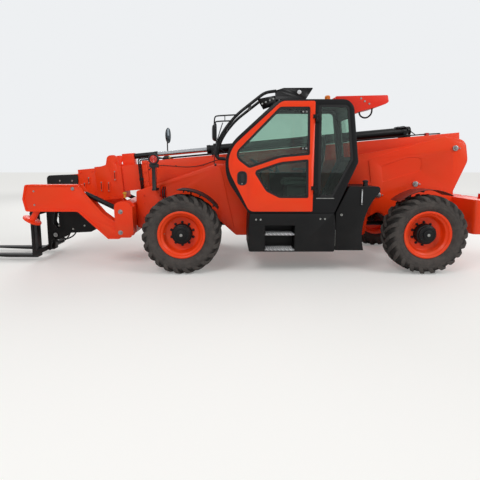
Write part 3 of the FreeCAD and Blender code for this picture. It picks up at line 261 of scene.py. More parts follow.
def tyreRubber():
    # Carbon-black rubber, moulded: grey where it scuffs, brown dust between the lugs and on the walls, and painted
    # shade that darkens the tread base between the lugs
    material, tree = newMaterial("carbonBlackRubber")
    place = placeOf(tree)
    clouds = ramp(tree, noise(tree, place, 0.09, 6.0, 0.7), ((0.35, 0.0), (0.7, 1.0)))
    base = mixColour(tree, clouds, linearColour("#3E3A38"), linearColour("#524C48"))
    # Painted shade: the tread base between the lugs is drawn darker, towards near black
    lugGapShade = addNode(tree, "ShaderNodeAttribute", attribute_name="lugGapShade").outputs["Fac"]
    base = mixColour(tree, maths(tree, "MULTIPLY", lugGapShade, 0.85), base, linearColour("#1B1918"))
    spots = ramp(tree, noise(tree, place, 0.02, 6.0, 0.75), ((0.52, 0.0), (0.7, 1.0)))
    colour = mixColour(tree, maths(tree, "MULTIPLY", spots, 0.16), base, linearColour("#6B635C"))
    grain = noise(tree, place, 0.004, 3.0)
    shader = addNode(tree, "ShaderNodeBsdfPrincipled", {
        "Base Color": colour, "Roughness": 0.8, "Specular IOR Level": 0.3,
        "Normal": bumped(tree, grain, 0.0004)})
    outputOf(tree, shader.outputs[0])
    return material


def plainFinish(name, first, second, rough, size, metallic=0.0, bump=0.0002, grain=0.003, **more):
    # Two close colours in clouds, over a fine grain
    material, tree = newMaterial(name)
    place = placeOf(tree)
    clouds = ramp(tree, noise(tree, place, size, 5.0, 0.6), ((0.38, 0.0), (0.66, 1.0)))
    colour = mixColour(tree, clouds, linearColour(first), linearColour(second))
    inputs = {"Base Color": colour, "Metallic": metallic,
              "Roughness": maths(tree, "ADD", maths(tree, "MULTIPLY", clouds, 0.12), rough, True),
              "Normal": bumped(tree, noise(tree, place, grain, 3.0), bump)}
    inputs.update(more)
    outputOf(tree, addNode(tree, "ShaderNodeBsdfPrincipled", inputs).outputs[0])
    return material


def seatVinyl():
    # Calendered vinyl over foam: a leather-like grain of 1.5 mm cells with a dull sheen
    material, tree = newMaterial("grainedSeatVinyl")
    place = placeOf(tree)
    clouds = ramp(tree, noise(tree, place, 0.08, 4.0), ((0.4, 0.0), (0.7, 1.0)))
    colour = mixColour(tree, clouds, linearColour("#1A1A1C"), linearColour("#28282A"))
    cells = addNode(tree, "ShaderNodeTexVoronoi", {"Vector": place, "Scale": 600.0},
                    feature="DISTANCE_TO_EDGE").outputs["Distance"]
    shader = addNode(tree, "ShaderNodeBsdfPrincipled", {
        "Base Color": colour, "Roughness": 0.52, "Sheen Weight": 0.1,
        "Normal": bumped(tree, cells, 0.0005)})
    outputOf(tree, shader.outputs[0])
    return material


def treadPlate():
    # Rolled aluminium: raised bars in two leans, 28 mm apart, brighter where boots rub
    material, tree = newMaterial("fiveBarAluminium")
    place = placeOf(tree)
    bars = addNode(tree, "ShaderNodeTexWave", {"Vector": place, "Scale": 11.0, "Distortion": 0.0},
                   bands_direction="DIAGONAL").outputs["Fac"]
    raised = ramp(tree, bars, ((0.62, 0.0), (0.8, 1.0)))
    colour = mixColour(tree, raised, linearColour("#9D9EA0"), linearColour("#D4D5D6"))
    shader = addNode(tree, "ShaderNodeBsdfPrincipled", {
        "Base Color": colour, "Metallic": 1.0, "Roughness": 0.36,
        "Normal": bumped(tree, raised, 0.0012)})
    outputOf(tree, shader.outputs[0])
    return material


def tintedGlass(name, tint):
    # Toughened glass with a green body tint. Lamps pass it, so the cab inside is lit
    material, tree = newMaterial(name)
    smears = noise(tree, placeOf(tree), 0.25, 4.0)
    glass = addNode(tree, "ShaderNodeBsdfPrincipled", {
        "Base Color": linearColour(tint), "Roughness": 0.0, "IOR": 1.5,
        "Transmission Weight": 1.0, "Normal": bumped(tree, smears, 0.0002)})
    clear = addNode(tree, "ShaderNodeBsdfTransparent", {"Color": linearColour(tint)})
    shadow = addNode(tree, "ShaderNodeLightPath").outputs["Is Shadow Ray"]
    mixed = addNode(tree, "ShaderNodeMixShader", {0: shadow, 1: glass.outputs[0],
                                                  2: clear.outputs[0]})
    outputOf(tree, mixed.outputs[0])
    return material


def mouldedLens(name, colour, ribs):
    # Injection-moulded polycarbonate: prism ribs behind a glossy skin
    material, tree = newMaterial(name)
    place = placeOf(tree)
    wave = addNode(tree, "ShaderNodeTexWave", {"Vector": place, "Scale": 0.16 / ribs},
                   bands_direction="X").outputs["Fac"]
    shade = mixColour(tree, maths(tree, "MULTIPLY", wave, 0.35), linearColour(colour),
                      linearColour("#5A1206"), "MULTIPLY")
    shader = addNode(tree, "ShaderNodeBsdfPrincipled", {
        "Base Color": shade, "Roughness": 0.12, "Coat Weight": 0.6,
        "Emission Color": linearColour(colour), "Emission Strength": 0.08,
        "Normal": bumped(tree, wave, 0.0008)})
    outputOf(tree, shader.outputs[0])
    return material


finishes = {
    "orange": paintedSteel("orangeEnamel", paints["orange"]),
    "rimOrange": paintedSteel("rimEnamel", paints["rimOrange"]),
    "roofRed": paintedSteel("redGelCoat", paints["roofRed"]),
    "paintedShadeRed": paintedSteel("paintedShadeEnamel", paints["paintedShadeRed"]),
    "black": paintedSteel("blackChassisEnamel", paints["black"]),
    "frameBlack": paintedSteel("satinBlackCabPaint", paints["frameBlack"]),
    "rubber": tyreRubber(),
    "seal": plainFinish("extrudedRubberSeal", "#0B0B0C", "#141415", 0.62, 0.08),
    "hose": plainFinish("wrappedHoseCover", "#0F0F10", "#1A1919", 0.55, 0.03, bump=0.0005),
    "chrome": plainFinish("hardChromePlate", "#C9CBCE", "#BBBDC0", 0.12, 0.2, metallic=1.0,
                          bump=0.00002),
    "zinc": plainFinish("zincPlatedSteel", "#B9BAB6", "#8F908C", 0.32, 0.02, metallic=1.0),
    "pinSteel": plainFinish("machinedPinSteel", "#AFAFAE", "#8A8A8A", 0.3, 0.03, metallic=1.0),
    "boltBlack": plainFinish("phosphatedBolt", "#17171A", "#232326", 0.5, 0.01, metallic=0.4),
    "tread": treadPlate(),
    "iron": plainFinish("sandCastIron", "#2E2F31", "#3E3B39", 0.62, 0.05, metallic=0.3, bump=0.0008),
    "wornSteel": plainFinish("scuffedForkSteel", "#171719", "#2E2B29", 0.45, 0.12, metallic=0.2,
                             bump=0.0004),
    "moulded": plainFinish("grainedPolypropylene", "#161618", "#202022", 0.55, 0.1, bump=0.0004),
    "greyMoulding": plainFinish("greyAbsMoulding", "#4A4C4F", "#55575B", 0.5, 0.1, bump=0.0003),
    "vinyl": seatVinyl(),
    "amber": mouldedLens("amberPolycarbonate", "#F08410", 0.008),
    "redLens": mouldedLens("redPolycarbonate", "#D0240E", 0.006),
    "clearLens": plainFinish("frostedLampLens", "#D9DADB", "#BFC1C3", 0.15, 0.03),
    "mirrorGlass": plainFinish("darkMirrorGlass", "#565C60", "#4C5256", 0.03, 0.3, metallic=1.0,
                               bump=0.0),
    "yellowCap": plainFinish("yellowCapPlastic", "#E3B23A", "#CF9A2A", 0.4, 0.03),
    "redClamp": plainFinish("redPipeClamp", "#C8322A", "#B0281F", 0.4, 0.03),
    "bareBrass": plainFinish("yellowPassivatedSteel", "#B79A62", "#9A7F4C", 0.35, 0.02, metallic=0.9),
    "glass": tintedGlass("greenToughenedGlass", "#BFD8CC"),
}
print("finishes mixed:", len(finishes))


def makeStage():
    material, tree = newMaterial("paleStudioFloor")
    colour = linearColour(studio["floor"])
    matte = addNode(tree, "ShaderNodeBsdfDiffuse", {"Color": colour})
    seen = addNode(tree, "ShaderNodeLightPath").outputs["Is Camera Ray"]
    reach = addNode(tree, "ShaderNodeVectorMath", {0: placeOf(tree)}, operation="LENGTH")
    near, far = studio["floorGlow"]
    glowing = addNode(tree, "ShaderNodeMapRange", {
        "Value": reach.outputs["Value"], "From Min": 7.0, "From Max": 22.0, "To Min": near,
        "To Max": far}, interpolation_type="SMOOTHSTEP").outputs["Result"]
    glow = addNode(tree, "ShaderNodeEmission", {
        "Color": colour, "Strength": maths(tree, "MULTIPLY", seen, glowing)})
    both = addNode(tree, "ShaderNodeAddShader", {0: matte.outputs[0], 1: glow.outputs[0]})
    outputOf(tree, both.outputs[0])
    mesh = bpy.data.meshes.new("floor")
    reach = 60
    mesh.from_pydata([(-reach, -reach, 0), (reach, -reach, 0), (reach, reach, 0), (-reach, reach, 0)],
                     [], [(0, 1, 2, 3)])
    mesh.materials.append(material)
    floor = bpy.data.objects.new("floor", mesh)
    bpy.context.scene.collection.objects.link(floor)
    world = bpy.data.worlds.new("paleSky")
    bpy.context.scene.world = world
    world.use_nodes = True
    tree = world.node_tree
    tree.nodes.clear()
    sky = linearColour(studio["sky"])
    light = addNode(tree, "ShaderNodeBackground", {"Color": sky, "Strength": studio["skyLight"]})
    seen = addNode(tree, "ShaderNodeBackground", {"Color": sky, "Strength": 1.0})
    rays = addNode(tree, "ShaderNodeLightPath").outputs
    pale = maths(tree, "MAXIMUM", rays["Is Camera Ray"], rays["Is Transmission Ray"])
    pale = maths(tree, "MAXIMUM", pale, maths(tree, "MULTIPLY", rays["Is Glossy Ray"], 0.5))
    mixed = addNode(tree, "ShaderNodeMixShader", {0: pale, 1: light.outputs[0], 2: seen.outputs[0]})
    addNode(tree, "ShaderNodeOutputWorld", {"Surface": mixed.outputs[0]})
    for name, lamp in studio["lamps"].items():
        data = bpy.data.lights.new(name + "Lamp", "AREA")
        data.energy = lamp["power"]
        data.size = lamp["size"]
        holder = bpy.data.objects.new(name + "Lamp", data)
        holder.location = lamp["place"]
        aim = Vector((0.2, 0, 1.0)) - holder.location
        holder.rotation_euler = aim.to_track_quat("-Z", "Y").to_euler()
        bpy.context.scene.collection.objects.link(holder)
    bpy.context.scene.view_settings.view_transform = "Standard"


makeStage()
print("stage lit")


# Making and finishing pieces

def addPiece(name, mesh, body, finish=None):  # a new piece that rides on a body
    piece = bpy.data.objects.new(name, mesh)
    bpy.context.scene.collection.objects.link(piece)
    if finish:
        mesh.materials.clear()
        mesh.materials.append(finishes[finish])
    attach(piece, body)
    return piece


def scratchObject(name, mesh):
    holder = bpy.data.objects.new(name, mesh)
    bpy.context.scene.collection.objects.link(holder)
    return holder


def bakedMesh(holder, name):  # the holder's modifiers turned into a plain mesh
    graph = bpy.context.evaluated_depsgraph_get()
    mesh = bpy.data.meshes.new_from_object(holder.evaluated_get(graph), preserve_all_data_layers=True,
                                           depsgraph=graph)
    mesh.name = name
    bpy.data.objects.remove(holder)
    return mesh


def joinedMesh(name, meshes):
    work = bmesh.new()
    for mesh in meshes:
        work.from_mesh(mesh)
    joined = bpy.data.meshes.new(name)
    work.to_mesh(joined)
    work.free()
    return joined


def softenedMesh(mesh, name, width, segments=2, angle=32):  # rounded edges and smooth shading
    work = bmesh.new()
    work.from_mesh(mesh)
    bmesh.ops.remove_doubles(work, verts=work.verts, dist=0.00002)
    bmesh.ops.dissolve_limit(work, angle_limit=math.radians(0.6), verts=work.verts, edges=work.edges)
    plain = bpy.data.meshes.new(name)
    work.to_mesh(plain)
    work.free()
    for face in plain.polygons:
        face.use_smooth = True
    holder = scratchObject(name, plain)
    bevel = holder.modifiers.new("edges", "BEVEL")
    bevel.width = width
    bevel.segments = segments
    bevel.limit_method = "ANGLE"
    bevel.angle_limit = math.radians(angle)
    bevel.harden_normals = True
    return bakedMesh(holder, name)


dressed = {}


def dressNode(node, finish, width=0.004, segments=2):
    # A copy of a CAD node with rounded edges takes its place
    source = frame["nodes"][node]
    mesh = softenedMesh(source.data, "dressed_" + node, width, segments)
    piece = addPiece("dressed_" + node, mesh, source["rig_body"], finish)
    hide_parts(node)
    dressed[node] = piece
    return piece


def smoothed(mesh, angle=35):  # smooth shading, with edges sharper than the angle kept crisp
    work = bmesh.new()
    work.from_mesh(mesh)
    for face in work.faces:
        face.smooth = True
    for edge in work.edges:
        if edge.is_manifold and edge.calc_face_angle(0) > math.radians(angle):
            edge.smooth = False
    work.to_mesh(mesh)
    work.free()
    return mesh


def placed(point, centre, aim, side=None):
    # A point drawn with its axis along z, moved so that the axis looks along the aim
    aim = Vector(aim).normalized()
    side = Vector(side or ((0, 0, 1) if abs(aim.z) < 0.9 else (1, 0, 0)))
    third = aim.cross(side).normalized()
    side = third.cross(aim).normalized()
    return Vector(centre) + side * point[0] + third * point[1] + aim * point[2]


def turnedMesh(name, profile, centre, aim, count=32, angle=35):
    # A profile of (radius, distance along the axis) turned round. It starts and ends on the axis,
    # or closes on itself
    work = bmesh.new()
    rings = []
    for radius, along in profile:
        if radius < 1e-6:
            rings.append([work.verts.new(placed((0, 0, along), centre, aim))])
            continue
        ring = []
        for step in range(count):
            turn = 2 * math.pi * step / count
            ring.append(work.verts.new(placed((radius * math.cos(turn), radius * math.sin(turn),
                                               along), centre, aim)))
        rings.append(ring)
    pairs = list(zip(rings, rings[1:]))
    if len(rings[0]) > 1 and len(rings[-1]) > 1:
        pairs.append((rings[-1], rings[0]))
    for one, other in pairs:
        for step in range(count):
            after = (step + 1) % count
            corners = [one[step % len(one)], one[after % len(one)], other[after % len(other)],
                       other[step % len(other)]]
            unique = list(dict.fromkeys(corners))
            if len(unique) > 2:
                work.faces.new(unique)
    bmesh.ops.recalc_face_normals(work, faces=work.faces)
    mesh = bpy.data.meshes.new(name)
    work.to_mesh(mesh)
    work.free()
    return smoothed(mesh, angle)


def roundedLoop(corners, steps=6):  # points round a polygon of (x, z, radius)
    loop = []
    for index, (x, z, radius) in enumerate(corners):
        here = Vector((x, z))
        before = Vector(corners[index - 1][:2]) - here
        after = Vector(corners[(index + 1) % len(corners)][:2]) - here
        if radius <= 0:
            loop.append(here)
            continue
        half = before.angle(after) / 2
        reach = min(radius / math.tan(half), before.length * 0.49, after.length * 0.49)
        first = here + before.normalized() * reach
        last = here + after.normalized() * reach
        for step in range(steps + 1):
            share = step / steps
            loop.append(first * (1 - share) ** 2 + here * 2 * share * (1 - share) + last * share ** 2)
    return loop


def shrunkLoop(loop, depth):  # the loop moved inwards by depth
    area = sum(a.x * b.y - b.x * a.y for a, b in zip(loop, loop[1:] + loop[:1]))
    way = 1 if area > 0 else -1
    moved = []
    for index, here in enumerate(loop):
        along = (loop[(index + 1) % len(loop)] - loop[index - 1]).normalized()
        moved.append(here + Vector((-along.y, along.x)) * depth * way)
    return moved


def ringMesh(name, outer, inner, low, high):  # a flat frame between two loops, from y low to high
    work = bmesh.new()
    rows = []
    for loop, y in ((outer, low), (inner, low), (inner, high), (outer, high)):
        rows.append([work.verts.new((point.x, y, point.y)) for point in loop])
    for one, other in zip(rows, rows[1:] + rows[:1]):
        for step in range(len(one)):
            after = (step + 1) % len(one)
            work.faces.new((one[step], one[after], other[after], other[step]))
    bmesh.ops.recalc_face_normals(work, faces=work.faces)
    mesh = bpy.data.meshes.new(name)
    work.to_mesh(mesh)
    work.free()
    return smoothed(mesh, 30)


def plateMesh(name, corners, low, high, width=0.0015, plane="XZ", segments=2):
    # A flat plate with rounded corners and softened edges, from low to high across its plane
    work = bmesh.new()
    loop = roundedLoop(corners)
    spot = {"XZ": lambda p, y: (p.x, y, p.y), "YZ": lambda p, x: (x, p.x, p.y),
            "XY": lambda p, z: (p.x, p.y, z)}[plane]
    sides = [[work.verts.new(spot(point, level)) for point in loop] for level in (low, high)]
    work.faces.new(sides[0])
    work.faces.new(list(reversed(sides[1])))
    for step in range(len(loop)):
        after = (step + 1) % len(loop)
        work.faces.new((sides[0][step], sides[0][after], sides[1][after], sides[1][step]))
    bmesh.ops.recalc_face_normals(work, faces=work.faces)
    mesh = bpy.data.meshes.new(name)
    work.to_mesh(mesh)
    work.free()
    return softenedMesh(mesh, name, width, segments) if width else smoothed(mesh)


def blockMesh(name, low, high, width=0.003, segments=2):  # a box with softened edges
    corners = ((low[0], low[2], 0), (high[0], low[2], 0), (high[0], high[2], 0), (low[0], high[2], 0))
    return plateMesh(name, corners, low[1], high[1], width, segments=segments)


def tubeMesh(name, points, radius, sides=12, order=3):
    # A round hose or line on a smooth curve through its run of control points
    curve = bpy.data.curves.new(name, "CURVE")
    curve.dimensions = "3D"
    spline = curve.splines.new("NURBS")
    spline.points.add(len(points) - 1)
    for point, place in zip(spline.points, points):
        point.co = (*place, 1)
    spline.order_u = min(order, len(points))
    spline.use_endpoint_u = True
    curve.resolution_u = 6
    curve.bevel_depth = radius
    curve.bevel_resolution = max(sides // 4 - 1, 1)
    curve.use_fill_caps = True
    holder = bpy.data.objects.new(name, curve)
    bpy.context.scene.collection.objects.link(holder)
    mesh = bakedMesh(holder, name)
    bpy.data.curves.remove(curve)
    return smoothed(mesh, 50)


def groupTree(name, inputs):  # a Geometry Nodes tree with named inputs
    tree = bpy.data.node_groups.new(name, "GeometryNodeTree")
    tree.interface.new_socket("Geometry", in_out="INPUT", socket_type="NodeSocketGeometry")
    tree.interface.new_socket("Geometry", in_out="OUTPUT", socket_type="NodeSocketGeometry")
    for label, kind, value in inputs:
        socket = tree.interface.new_socket(label, in_out="INPUT", socket_type="NodeSocket" + kind)
        if value is not None:
            socket.default_value = value
    return tree, addNode(tree, "NodeGroupInput").outputs


def fastenerTree():
    # A hexagon head with a washer under it, at every point, looking along the point's aim
    tree, given = groupTree("fastenersAtPoints", (
        ("Head Radius", "Float", 0.009), ("Head Height", "Float", 0.008),
        ("Washer Radius", "Float", 0.013), ("Finish", "Material", None)))
    head = addNode(tree, "GeometryNodeMeshCylinder", {
        "Vertices": 6, "Radius": given["Head Radius"], "Depth": given["Head Height"]})
    lift = maths(tree, "ADD", maths(tree, "MULTIPLY", given["Head Height"], 0.5), 0.002)
    rise = addNode(tree, "ShaderNodeCombineXYZ", {"Z": lift}).outputs[0]
    raised = addNode(tree, "GeometryNodeTransform", {"Geometry": head.outputs["Mesh"],
                                                     "Translation": rise})
    washer = addNode(tree, "GeometryNodeMeshCylinder", {
        "Vertices": 16, "Radius": given["Washer Radius"], "Depth": 0.004})
    bolt = addNode(tree, "GeometryNodeJoinGeometry")
    tree.links.new(raised.outputs[0], bolt.inputs[0])
    tree.links.new(washer.outputs["Mesh"], bolt.inputs[0])
    aim = addNode(tree, "GeometryNodeInputNamedAttribute", {"Name": "aim"},
                  data_type="FLOAT_VECTOR").outputs["Attribute"]
    turn = addNode(tree, "FunctionNodeAlignRotationToVector", {"Vector": aim}, axis="Z").outputs[0]
    spread = addNode(tree, "GeometryNodeInstanceOnPoints", {
        "Points": given["Geometry"], "Instance": bolt.outputs[0], "Rotation": turn})
    solid = addNode(tree, "GeometryNodeRealizeInstances", {"Geometry": spread.outputs[0]})
    finished = addNode(tree, "GeometryNodeSetMaterial", {"Geometry": solid.outputs[0],
                                                         "Material": given["Finish"]})
    addNode(tree, "NodeGroupOutput", {"Geometry": finished.outputs[0]})
    return tree


def ringTree():
    # Copies of an object turned about the y axis, a whole turn shared evenly
    tree, given = groupTree("copiesRoundAxle", (
        ("Copy", "Object", None), ("Count", "Int", 12), ("Start Turn", "Float", 0.0),
        ("Finish", "Material", None)))
    shape = addNode(tree, "GeometryNodeObjectInfo", {"Object": given["Copy"]}).outputs["Geometry"]
    spots = addNode(tree, "GeometryNodePoints", {"Count": given["Count"]}).outputs[0]
    index = addNode(tree, "GeometryNodeInputIndex").outputs[0]
    share = maths(tree, "DIVIDE", index, given["Count"])
    turn = maths(tree, "ADD", maths(tree, "MULTIPLY", share, 2 * math.pi), given["Start Turn"])
    angles = addNode(tree, "ShaderNodeCombineXYZ", {"Y": turn}).outputs[0]
    spread = addNode(tree, "GeometryNodeInstanceOnPoints", {
        "Points": spots, "Instance": shape, "Rotation": angles})
    solid = addNode(tree, "GeometryNodeRealizeInstances", {"Geometry": spread.outputs[0]})
    finished = addNode(tree, "GeometryNodeSetMaterial", {"Geometry": solid.outputs[0],
                                                         "Material": given["Finish"]})
    addNode(tree, "NodeGroupOutput", {"Geometry": finished.outputs[0]})
    return tree


def lineTree():
    # Copies of an object at even steps along a line
    tree, given = groupTree("copiesInLine", (
        ("Copy", "Object", None), ("Count", "Int", 8), ("Start", "Vector", (0, 0, 0)),
        ("Step", "Vector", (0, 0, 0.04)), ("Finish", "Material", None)))
    shape = addNode(tree, "GeometryNodeObjectInfo", {"Object": given["Copy"]}).outputs["Geometry"]
    line = addNode(tree, "GeometryNodeMeshLine", {
        "Count": given["Count"], "Start Location": given["Start"], "Offset": given["Step"]})
    spread = addNode(tree, "GeometryNodeInstanceOnPoints", {
        "Points": line.outputs[0], "Instance": shape})
    solid = addNode(tree, "GeometryNodeRealizeInstances", {"Geometry": spread.outputs[0]})
    finished = addNode(tree, "GeometryNodeSetMaterial", {"Geometry": solid.outputs[0],
                                                         "Material": given["Finish"]})
    addNode(tree, "NodeGroupOutput", {"Geometry": finished.outputs[0]})
    return tree


repeats = {"fasteners": fastenerTree(), "ring": ringTree(), "line": lineTree()}


def grownMesh(name, tree, values, base=None):  # what a tree makes from these inputs, as a mesh
    holder = scratchObject(name, base or bpy.data.meshes.new(name))
    grown = holder.modifiers.new("grown", "NODES")
    grown.node_group = tree
    sockets = {item.name: item.identifier for item in tree.interface.items_tree
               if item.item_type == "SOCKET" and item.in_out == "INPUT"}
    for label, value in values.items():
        grown[sockets[label]] = value
    return bakedMesh(holder, name)


def addFasteners(name, body, finish, radius, height, spots):
    # Spots are (place, aim). One mesh holds them all
    points = bpy.data.meshes.new(name)
    points.from_pydata([place for place, aim in spots], [], [])
    aims = points.attributes.new("aim", "FLOAT_VECTOR", "POINT")
    for item, (place, aim) in zip(aims.data, spots):
        item.vector = aim
    mesh = grownMesh(name, repeats["fasteners"], {
        "Head Radius": radius, "Head Height": height, "Washer Radius": radius * 1.4,
        "Finish": finishes[finish]}, points)
    return addPiece(name, mesh, body)


def repeated(name, tree, shape, values, finish):  # a mesh repeated by a tree, the pattern deleted
    pattern = scratchObject(name + "Pattern", shape)
    mesh = grownMesh(name, tree, {"Copy": pattern, "Finish": finishes[finish], **values})
    bpy.data.objects.remove(pattern)
    return mesh


def moved(mesh, centre):
    mesh.transform(Matrix.Translation(Vector(centre)))
    return mesh


# Which finish each CAD node takes, its slot name, and how far its edges are rounded (mm)
nodeLooks = {
    "orange": ("orange_paint", 4, (
        "chassis_side_left", "chassis_side_right", "chassis_cross", "counterweight", "boom_outer",
        "boom_second", "boom_third", "boom_tip", "stabiliser_left", "stabiliser_right", "cab_door",
        "engine_hood")),
    "black": ("black_paint", 4, (
        "cab_base", "hydraulic_tank", "front_axle", "rear_axle", "boom_head", "carriage",
        "engine_tray", "extension_barrel", "lift_barrel", "tilt_barrel", "stay_left_barrel",
        "stay_right_barrel", "knuckle_front_left", "knuckle_front_right", "knuckle_rear_left",
        "knuckle_rear_right", "tow_hitch", "drive_line")),
    "frameBlack": ("black_paint", 5, ("cab_frame", "cab_guard")),
    "wornSteel": ("fork_steel", 3, ("forks",)),
    "iron": ("engine_iron", 8, ("engine_block",)),
    "chrome": ("chrome_rod", 2, (
        "extension_rod", "lift_rod", "tilt_rod", "stay_left_rod", "stay_right_rod")),
    "glass": ("tinted_glass", 0, ("cab_glass", "door_glass")),
    "moulded": ("cab_plastic", 4, ("cab_controls", "front_lamps")),
    "tread": ("step_aluminium", 2, ("cab_steps",)),
    "roofRed": ("roof_plastic", 8, ("roof_unit",)),
    "redLens": ("red_lens", 3, ("tail_lamps",)),
}
edgeOf = {"extension_barrel": 1.5, "extension_rod": 3}  # the piston ends close to the barrel's mouth

for finish, (slot, width, names) in nodeLooks.items():
    for node in names:
        if width:
            dressNode(node, finish, edgeOf.get(node, width) / 1000)
        else:
            frame["nodes"][node].data.materials.clear()
            frame["nodes"][node].data.materials.append(finishes[finish])


def repaintFaces(node, finish, chosen):  # some faces of a dressed node take another finish
    mesh = dressed[node].data
    mesh.materials.append(finishes[finish])
    for face in mesh.polygons:
        if chosen(face.center):
            face.material_index = len(mesh.materials) - 1


def isPinCap(spot):
    return abs(spot.y) > sidePins["faceY"] and any(
        math.hypot(spot.x - behind(x), spot.z - z) < sidePins["radius"] for x, z in sidePins["places"])


sidePins = {"faceY": 0.3725, "radius": 0.047,
            "places": ((3.140, 1.110), (3.740, 1.290), (4.350, 1.867))}
for node in ("chassis_side_left", "chassis_side_right"):
    repaintFaces(node, "pinSteel", isPinCap)

# The top of the rear mudguards is dark red: painted shade laid over the black guards
for label, side in (("left", -1), ("right", 1)):
    repaintFaces("knuckle_rear_" + label, "paintedShadeRed", lambda spot: 0.654 < math.hypot(
        spot.x - axle["rear"], spot.z - axle["height"]) < 0.672 and abs(spot.y) > 0.80)

# The extension rod ends in an orange bracket, and the door's hinge leaves are black
repaintFaces("extension_rod", "orange", lambda spot: alongBoom(spot) < boomLine["mouth"] - 0.14)
repaintFaces("cab_door", "frameBlack", lambda spot: spot.x > behind(1.873))
print("CAD nodes dressed:", len(dressed))


# Wheels: tyres with two staggered rows of curved lugs, deep rims and planetary hubs
tyre = {
    "count": 22,
    "steps": 3,  # stations added between two of the lug's own
    "sideFall": 0.006,  # how much wider a lug is at its foot, on each side
    # each lug station: y, top radius, lean along the tread, half width, turn of its top (degrees),
    # depth down into the carcass
    "lug": ((0.004, 0.5868, -0.010, 0.017, 0, 0.036), (0.035, 0.5868, 0.012, 0.020, 0, 0.036),
            (0.080, 0.5864, 0.042, 0.022, 2, 0.036), (0.120, 0.5845, 0.068, 0.025, 8, 0.036),
            (0.155, 0.5780, 0.092, 0.028, 20, 0.036), (0.181, 0.5650, 0.108, 0.031, 45, 0.034),
            (0.1955, 0.5460, 0.120, 0.033, 65, 0.028), (0.2005, 0.5230, 0.127, 0.033, 80, 0.020),
            (0.2015, 0.5000, 0.133, 0.029, 88, 0.012), (0.1995, 0.4830, 0.137, 0.021, 92, 0.007)),
    # half of the carcass: radius, y
    "wall": ((0.330, 0.1440), (0.352, 0.1452), (0.366, 0.1520), (0.374, 0.1640), (0.380, 0.1668),
             (0.384, 0.1742), (0.398, 0.1840), (0.404, 0.1838), (0.408, 0.1872), (0.424, 0.1925),
             (0.446, 0.1955), (0.450, 0.1940), (0.454, 0.1962), (0.476, 0.1955), (0.492, 0.1930),
             (0.506, 0.1860), (0.524, 0.1780), (0.538, 0.1660), (0.549, 0.1480), (0.5555, 0.1220),
             (0.5575, 0.0800), (0.5580, 0.0300)),
    "around": 132,
}
rim = {
    "around": 96,
    # the turned disc and barrel: radius, y outwards from the wheel's middle
    "profile": ((0.1475, 0.000), (0.1500, 0.0035), (0.2300, 0.0035), (0.2480, 0.0080),
                (0.2620, 0.0220), (0.2690, 0.0420), (0.2715, 0.0700), (0.2720, 0.0980),
                (0.2760, 0.1100), (0.2880, 0.1210), (0.3040, 0.1300), (0.3100, 0.1380),
                (0.3130, 0.1480), (0.3220, 0.1565), (0.3340, 0.1600), (0.3450, 0.1590),
                (0.3510, 0.1545), (0.3515, 0.1490), (0.3480, 0.1455), (0.3320, 0.1448),
                (0.3298, 0.1440), (0.3296, 0.1330), (0.2990, 0.0850), (0.2990, -0.1050),
                (0.3296, -0.1330), (0.3296, -0.1448), (0.3510, -0.1460), (0.3510, -0.1590),
                (0.3120, -0.1570), (0.2790, -0.1150), (0.2790, -0.0180), (0.1475, -0.0180)),
    "nuts": 10, "nutCircle": 0.1715, "nutRadius": 0.0135,
    "hub": ((0.0, 0.1748), (0.024, 0.1748), (0.026, 0.1700), (0.066, 0.1690), (0.0715, 0.1650),
            (0.0720, 0.1505), (0.1120, 0.1500), (0.1180, 0.1460), (0.1240, 0.1420), (0.1260, 0.1150),
            (0.1310, 0.1110), (0.1440, 0.1070), (0.1468, 0.1030), (0.1470, -0.0180),
            (0.0, -0.0180)),
    "hubBolts": 12, "boltCircle": 0.099, "boltRadius": 0.0062,
    "plug": ((0.0, 0.1800), (0.014, 0.1797), (0.0215, 0.1775), (0.0220, 0.1740), (0.0, 0.1735)),
    "hood": ((0.1471, 0.030), (0.1530, 0.030), (0.1535, 0.0240), (0.1471, 0.022)),
}


def lugMesh(side):
    stations = [Vector(row[:4]) for row in tyre["lug"]]
    turns = [(math.radians(row[4]), row[5]) for row in tyre["lug"]]
    rows = []
    for index in range(len(stations) - 1):
        before = stations[max(index - 1, 0)]
        first, last = stations[index], stations[index + 1]
        after = stations[min(index + 2, len(stations) - 1)]
        for step in range(tyre["steps"]):
            t = step / tyre["steps"]
            spot = 0.5 * (2 * first + (last - before) * t
                          + (2 * before - 5 * first + 4 * last - after) * t ** 2
                          + (3 * first - before - 3 * last + after) * t ** 3)
            turn = turns[index][0] * (1 - t) + turns[index + 1][0] * t
            depth = turns[index][1] * (1 - t) + turns[index + 1][1] * t
            rows.append((spot, turn, depth))
    rows.append((stations[-1], turns[-1][0], turns[-1][1]))
    work = bmesh.new()
    grid = []
    for (y, radius, lean, half), turn, depth in rows:
        line = []
        for across, down in ((-half - tyre["sideFall"], depth), (-half, 0.0), (half, 0.0),
                             (half + tyre["sideFall"], depth)):
            r = radius - down * math.cos(turn)
            out = y - down * math.sin(turn)
            angle = (lean + across) / radius
            line.append(work.verts.new((r * math.sin(angle), side * out, r * math.cos(angle))))
        grid.append(line)
    for one, other in zip(grid, grid[1:]):
        for step in range(4):
            after = (step + 1) % 4
            work.faces.new((one[step], one[after], other[after], other[step]))
    work.faces.new(grid[0])
    work.faces.new(grid[-1])
    bmesh.ops.recalc_face_normals(work, faces=work.faces)
    mesh = bpy.data.meshes.new("lug")
    work.to_mesh(mesh)
    work.free()
    return softenedMesh(mesh, "lug", 0.004, 2, 40)


